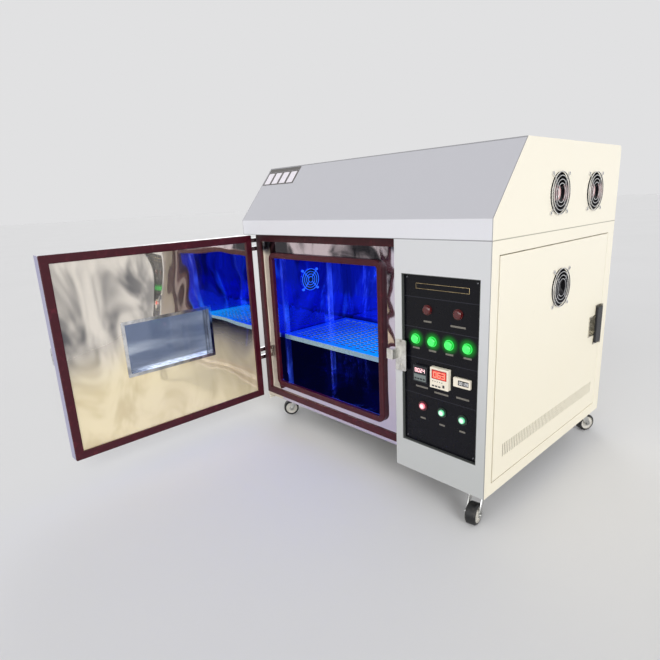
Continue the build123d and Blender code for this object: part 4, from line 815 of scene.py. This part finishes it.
# Pilot lamps are ribbed moulded lenses on round bodies, pushed through the panel. The
# four green ones are lit and the two red ones are dark.
green_lens = Finish("lit_green_lens", Roughness=0.2, Emission_Strength=1.0)
ribs = green_lens.noise(160.0, 2.0)
front_way = green_lens.ramp(green_lens.along(green_lens.facing, 1), -0.85, -0.35)
green_lens.set({
    "Base Color": linear("1C8030"),
    "Emission Color": green_lens.mixed(
        front_way, green_lens.mixed(ribs, linear("5CFF80"), linear("34F458")), linear("0A9A28")
    ),
})
dressed("green_lamps", green_lens)

red_lens = Finish("dark_red_lens", Roughness=0.18, Coat_Weight=0.6, Coat_Roughness=0.08)
cut = red_lens.noise(200.0, 2.0)
red_lens.set({
    "Base Color": red_lens.mixed(cut, linear("2E080A"), linear("661414")),
    "Normal": red_lens.relief(cut, MM * 0.8),
})
dressed("red_lamps", red_lens)


# Three moulded instrument cases sit in cut-outs of the panel, pushed in from the front:
# a black timer, an ivory temperature controller and an ivory hour counter.
timer_black = speckled("instrument_black", "1C1E22", "2E3034", 150.0, 2.0, Roughness=0.35)
dressed("timer", timer_black)
ivory = speckled("instrument_ivory", "E6DCC8", "F2EADA", 90.0, Roughness=0.4)
dressed("temperature_controller", ivory)
dressed("hour_counter", ivory)


# Push buttons: a dark moulded rim, and a lit cap that is palest in the middle, where
# its lamp stands behind it, and has one fine ring on its face.
RIM_SPLIT = (0.345, 0.355)
rim = Finish("button_rim", Roughness=0.3, Coat_Weight=0.4, Coat_Roughness=0.1)
left_rim = rim.ramp(rim.along(rim.place, 0), *RIM_SPLIT, 1.0, 0.0)
rim.set({"Base Color": rim.mixed(left_rim, linear("0A2A1A"), linear("4A0C14"))})
dressed("button_bezels", rim)


def lit_cap(name, inner, outer, centre):
    cap = Finish(name, Roughness=0.25, Emission_Strength=0.85)
    x = cap.along(cap.place, 0) - centre[0]
    z = cap.along(cap.place, 2) - centre[1]
    out = (x ** 2.0 + z ** 2.0) ** 0.5
    ringed = cap.ramp(out, 0.0040, 0.0085)
    mark = cap.ramp(abs(out - 0.0045), 0.0003, 0.0009, 1.0, 0.0)
    face = cap.mixed(mark * 0.55, cap.mixed(ringed, inner, outer), linear("505A58"))
    cap.set({"Base Color": face, "Emission Color": cap.mixed(0.45, (0, 0, 0, 1), face)})
    return cap


for node, name, inner, outer, centre in (
    ("button_left", "pink_cap", "FFF0F2", "E87888", (0.3169, 0.3062)),
    ("button_middle", "mint_cap_middle", "F0FFF8", "60C890", (0.3828, 0.3037)),
    ("button_right", "mint_cap_right", "F0FFF8", "60C890", (0.4486, 0.3007)),
):
    dressed(node, lit_cap(name, linear(inner), linear(outer), centre))


# Blank plates are glued to the panel: a wide one with a brass edge at the top, and a
# small grey strip under each lamp, instrument and button.
PANEL_FACE = -400.0
brass = plated("brass_edge", linear("C8B48A"), linear("8C7A58"), 0.3)
strip_grey = speckled("strip_engraving", "4E4B48", "8C877C", 400.0, Roughness=0.5)
title = Stock()
title.block((292, PANEL_FACE - 0.6, 651), (461, PANEL_FACE, 667))
title.piece("title_plate_edge", brass, "cabinet", "panel_black", 0.3)
title = Stock()
title.block((293.4, PANEL_FACE - 1.0, 652.4), (459.6, PANEL_FACE, 665.6))
title.piece("title_plate", panel_black, "cabinet", "panel_black", 0.2)
STRIPS = (
    (331.5, 561, 26), (429.0, 560, 46),
    (292.5, 479, 24), (348.6, 479, 24), (403.5, 479, 24), (459.6, 479, 24),
    (312.5, 364, 42), (379.0, 359, 46), (447.4, 362, 40),
    (316.9, 268, 18), (382.8, 265, 18), (448.6, 265, 18),
)
STRIP_HALF, STRIP_THICK = 2.6, 0.4
strips = Stock()
for x, z, width in STRIPS:
    strips.block((x - width / 2, PANEL_FACE - STRIP_THICK, z - STRIP_HALF),
                 (x + width / 2, PANEL_FACE, z + STRIP_HALF))
strips.piece("name_strips", strip_grey, "cabinet", "gear_grey", 0.15)
panel_spots = [(x, PANEL_FACE - 0.2, z) for x in (263, 485) for z in (199, 682)]
screws("panel_screws", "cabinet", panel_spots, FORWARD, 4.5, chrome)
keeper_spots = [(246, -412.8, z) for z in (422, 494)]
screws("keeper_screws", "cabinet", keeper_spots, FORWARD, 5.0, satin)


# Each instrument is a moulded case with a smoked window, lit digits and small keys.
# The digits are plain numbers of seven bars.
HEATER_MIDDLE, HEATER_GLOW = 0.379, (0.026, 0.030)
smoked = Finish("smoked_window", Roughness=0.12, Coat_Weight=0.4, Coat_Roughness=0.05,
                Emission_Strength=1.0)
sideways = abs(smoked.along(smoked.place, 0) - HEATER_MIDDLE)
warm_way = smoked.ramp(sideways, *HEATER_GLOW, 1.0, 0.0)
smoked.set({
    "Base Color": smoked.mixed(warm_way, linear("0C0C10"), linear("5A1A16")),
    "Emission Color": smoked.mixed(warm_way, (0, 0, 0, 1), linear("A03028")),
})


def lit_bar(name, colour, strength):
    bar = Finish(name, Roughness=0.4, Emission_Strength=strength)
    dimmed = (*(c * 0.85 for c in colour[:3]), 1)
    tone = bar.mixed(bar.ramp(bar.noise(900.0), 0.4, 0.6), colour, dimmed)
    bar.set({"Base Color": tone, "Emission Color": tone})
    return bar


BARS = {"0": "abcdef", "1": "bc", "2": "abged", "3": "abgcd", "4": "fgbc", "6": "afgedc",
        "8": "abcdefg"}


def digits(stock, text, x, y, z, width, height, pitch, bar):
    """Seven-bar numbers whose lower left corner is at x, z on the plane y."""
    half, mid = bar / 2, height / 2
    spans = {
        "a": (0, height, width, height), "d": (0, 0, width, 0), "g": (0, mid, width, mid),
        "f": (0, mid, 0, height), "b": (width, mid, width, height),
        "e": (0, 0, 0, mid), "c": (width, 0, width, mid),
    }
    for place, letter in enumerate(text):
        for code in BARS[letter]:
            x0, z0, x1, z1 = spans[code]
            left = x + place * pitch
            stock.block((left + x0 - half, y - 0.5, z + z0 - half),
                        (left + x1 + half, y, z + z1 + half))
    return stock


TIMER_FACE, HEATER_FACE, COUNTER_FACE = -410.0, -412.0, -407.0
Stock().block((292.5, TIMER_FACE - 0.6, 408), (332.5, TIMER_FACE, 426)).block(
    (354.5, HEATER_FACE - 0.6, 404), (403.5, HEATER_FACE, 431)).block(
    (436.5, COUNTER_FACE - 0.6, 401.5), (468.5, COUNTER_FACE, 415.5)).piece(
    "instrument_windows", smoked, "cabinet", "panel_black", 0.25)
digits(Stock(), "0024", 296.5, TIMER_FACE - 0.6, 412, 5.2, 10, 9.2, 1.4).piece(
    "timer_digits", lit_bar("pale_pink_bar", linear("FFD8DC"), 0.9), "cabinet", "white_plastic")
digits(Stock(), "063", 361.5, HEATER_FACE - 0.6, 409.5, 8.5, 15, 13.6, 2.6).piece(
    "temperature_digits", lit_bar("red_bar", linear("FF7A66"), 1.3), "cabinet", "red_lens")
digits(Stock(), "00128", 440.5, COUNTER_FACE - 0.6, 404.8, 3.2, 7.4, 5.8, 0.9).piece(
    "counter_digits", lit_bar("white_bar", linear("E8E8E8"), 0.35), "cabinet", "white_plastic")
key_grey = speckled("soft_keys", "66716F", "808B88", 200.0, Roughness=0.5)
keys = Stock()
keys.block((292.5, TIMER_FACE - 0.4, 385.5), (332.5, TIMER_FACE, 404.5))
keys.piece("timer_key_strip", key_grey, "cabinet", "gear_grey", 0.2)
TIMER_KEY_PITCH, HEATER_KEY_PITCH, DOT_PITCH = 9.6, 10.5, 7.5
small = Stock()
for column in range(4):
    step = column * TIMER_KEY_PITCH
    small.block((294.5 + step, TIMER_FACE - 1.2, 389), (301.0 + step, TIMER_FACE - 0.3, 394))
for column in range(3):
    step = column * HEATER_KEY_PITCH
    small.block((356 + step, HEATER_FACE - 0.8, 381.5), (363 + step, HEATER_FACE, 385.5))
small.block((391, HEATER_FACE - 0.9, 383), (397, HEATER_FACE, 391))
small.piece("instrument_keys", timer_black, "cabinet", "black_plastic", 0.2)
dots = Stock()
for column in range(5):
    x = 358.5 + column * DOT_PITCH
    dots.turned([(0, 0.4), (1.3, 0.3), (1.6, 0), (0, -0.3)], (x, HEATER_FACE, 397), FORWARD, 12)
dots.piece("heater_indicators", dark_screw, "cabinet", "gear_grey")


# The door: a folded outer skin, wool, and a mirror-polished inner panel held by the
# seal. The sheet is thin and hand polished, and its colour is a painted reflection: cream below,
# grey and smoky above.
door_coat = Finish("door_powder_coat", Specular_IOR_Level=0.5, Coat_Weight=0.2, Coat_Roughness=0.2)
# The free edge is painted lavender-blue: a painted reflection.
painted_edge_reflection = door_coat.ramp(door_coat.along(door_coat.facing, 1), -0.8, -0.5, 1.0, 0.0)
door_coat.set({
    "Base Color": door_coat.mixed(painted_edge_reflection, linear("D9D9DD"), linear("9290B0")),
    "Roughness": door_coat.ramp(door_coat.noise(9.0, 3.0), 0.3, 0.7, 0.3, 0.4),
    "Normal": door_coat.relief(door_coat.noise(620.0, 1.0), MM * 0.04),
})
folded("door_skin", "door_outer_sheet", door_coat)

door_mirror = Finish("door_mirror", Metallic=1.0)
lift = door_mirror.along(door_mirror.place, 2)
out_along = door_mirror.along(door_mirror.place, 1)
bend = door_mirror.noise(4.2, 1.2, 0.4, (1, 1, 0.8), 0.6)
painted_cream_zone = door_mirror.ramp(lift + bend * 0.25, 0.45, 0.62, 1.0, 0.0)
far_out = door_mirror.ramp(out_along, -0.95, -0.60, 1.0, 0.0)
curl = door_mirror.noise(5.0, 3.0, 0.55, (1, 1.3, 0.7), 0.7)
painted_smoke_reflection = door_mirror.ramp(curl, 0.44, 0.66)
cool = door_mirror.mixed(painted_smoke_reflection * far_out, linear("F6EEE2"), linear("66666A"))
painted_cream_reflection = door_mirror.mixed(painted_smoke_reflection * 0.5, linear("FFF0C8"), linear("CDB88C"))
scratch = door_mirror.noise(60.0, 5.0, 0.7, (1, 6, 1))
door_mirror.set({
    "Base Color": door_mirror.mixed(painted_cream_zone, cool, painted_cream_reflection),
    "Metallic": 1.0 - painted_cream_zone * 0.55 - far_out * (1 - painted_cream_zone) * 0.25,
    "Roughness": door_mirror.ramp(scratch, 0.5, 0.85, 0.03, 0.10),
    "Normal": door_mirror.relief(bend, MM * 9.0),
})
dressed("door_inner_panel", door_mirror)


# The door's window has two panes with a faint blue tint, one at each face of the door,
# and each lies in a bright pressed trim.
dressed("window_trim", chrome)
pane = Finish("blue_tinted_pane", Roughness=0.03, Transmission_Weight=1.0, IOR=1.45)
tint = pane.ramp(pane.noise(9.0, 3.0, 0.5, (1, 0.3, 2.0)), 0.4, 0.7)
pane.set({"Base Color": pane.mixed(tint, linear("B0BACE"), linear("E2E8F2"))})
dressed("window_glass", pane)


# The side door is a service leaf of the same coated sheet. A dark gauze behind its louvres
# is put there as painted shade that darkens the slots, and its flush latch is a plated dish with a
# black moulded paddle.
LEAF_FOLD, GAUZE_MESH = 1.6, 0.0012
folded("side_door", "service_leaf", side_coat, LEAF_FOLD)
gauze = Finish("shade_backing_gauze", Metallic=0.4, Roughness=0.6)
weave = gauze.math("PINGPONG", gauze.along(gauze.place, 2), GAUZE_MESH)
gauze.set({
    "Base Color": gauze.mixed(
        gauze.ramp(weave, 0.0003, 0.0009), linear("5E584C"), linear("8A8374")
    ),
    "Normal": gauze.relief(weave, 1.0),
})
Stock().block((502.6, -324, 178), (504.4, 320, 230)).piece(
    "shade_backing_gauze", gauze, "side_door", "frame_steel")
dish = plated("latch_dish_plate", linear("D8D4C8"), linear("8A867C"), 0.2)
dressed("side_latch_dish", dish)
dressed("side_latch_paddle", black_mould)


# Casters have pressed zinc forks on ball races. Each wheel is a pale moulded core with
# a hard black tread bonded round it.
CORE_REACH = 0.0283


def wheel_finish(corner):
    """Pale sides out to the tread, told by how far a point is from the wheel's middle."""
    points = [v.co for v in frame["nodes"]["caster_wheel_" + corner].data.vertices]
    middle = [(min(p[i] for p in points) + max(p[i] for p in points)) / 2 for i in range(3)]
    wheel = Finish("wheel_" + corner, Specular_IOR_Level=0.4)
    sockets = {0: wheel.place, 1: middle}
    reach = wheel.add("ShaderNodeVectorMath", {"operation": "DISTANCE"}, sockets, 1)
    scrape = wheel.ramp(wheel.noise(70.0, 5.0, 0.7), 0.5, 0.8)
    tread = wheel.mixed(scrape, linear("1A1A1B"), linear("4A4744"))
    core = wheel.mixed(scrape, linear("CFCCC4"), linear("A8A296"))
    wheel.set({
        "Base Color": wheel.mixed(
            wheel.ramp(reach, CORE_REACH - 0.0004, CORE_REACH), core, tread
        ),
        "Roughness": scrape * 0.3 + 0.45,
        "Normal": wheel.relief(wheel.noise(260.0, 3.0), MM * 0.2),
    })
    return wheel


for corner in ("front_right", "front_left", "rear_right", "rear_left"):
    dressed("caster_fork_" + corner, zinc_plate)
    dressed("caster_wheel_" + corner, wheel_finish(corner))


# The cable gland is a black moulding, held by its nut low in the rear sheet.
dressed("cable_gland", black_mould)
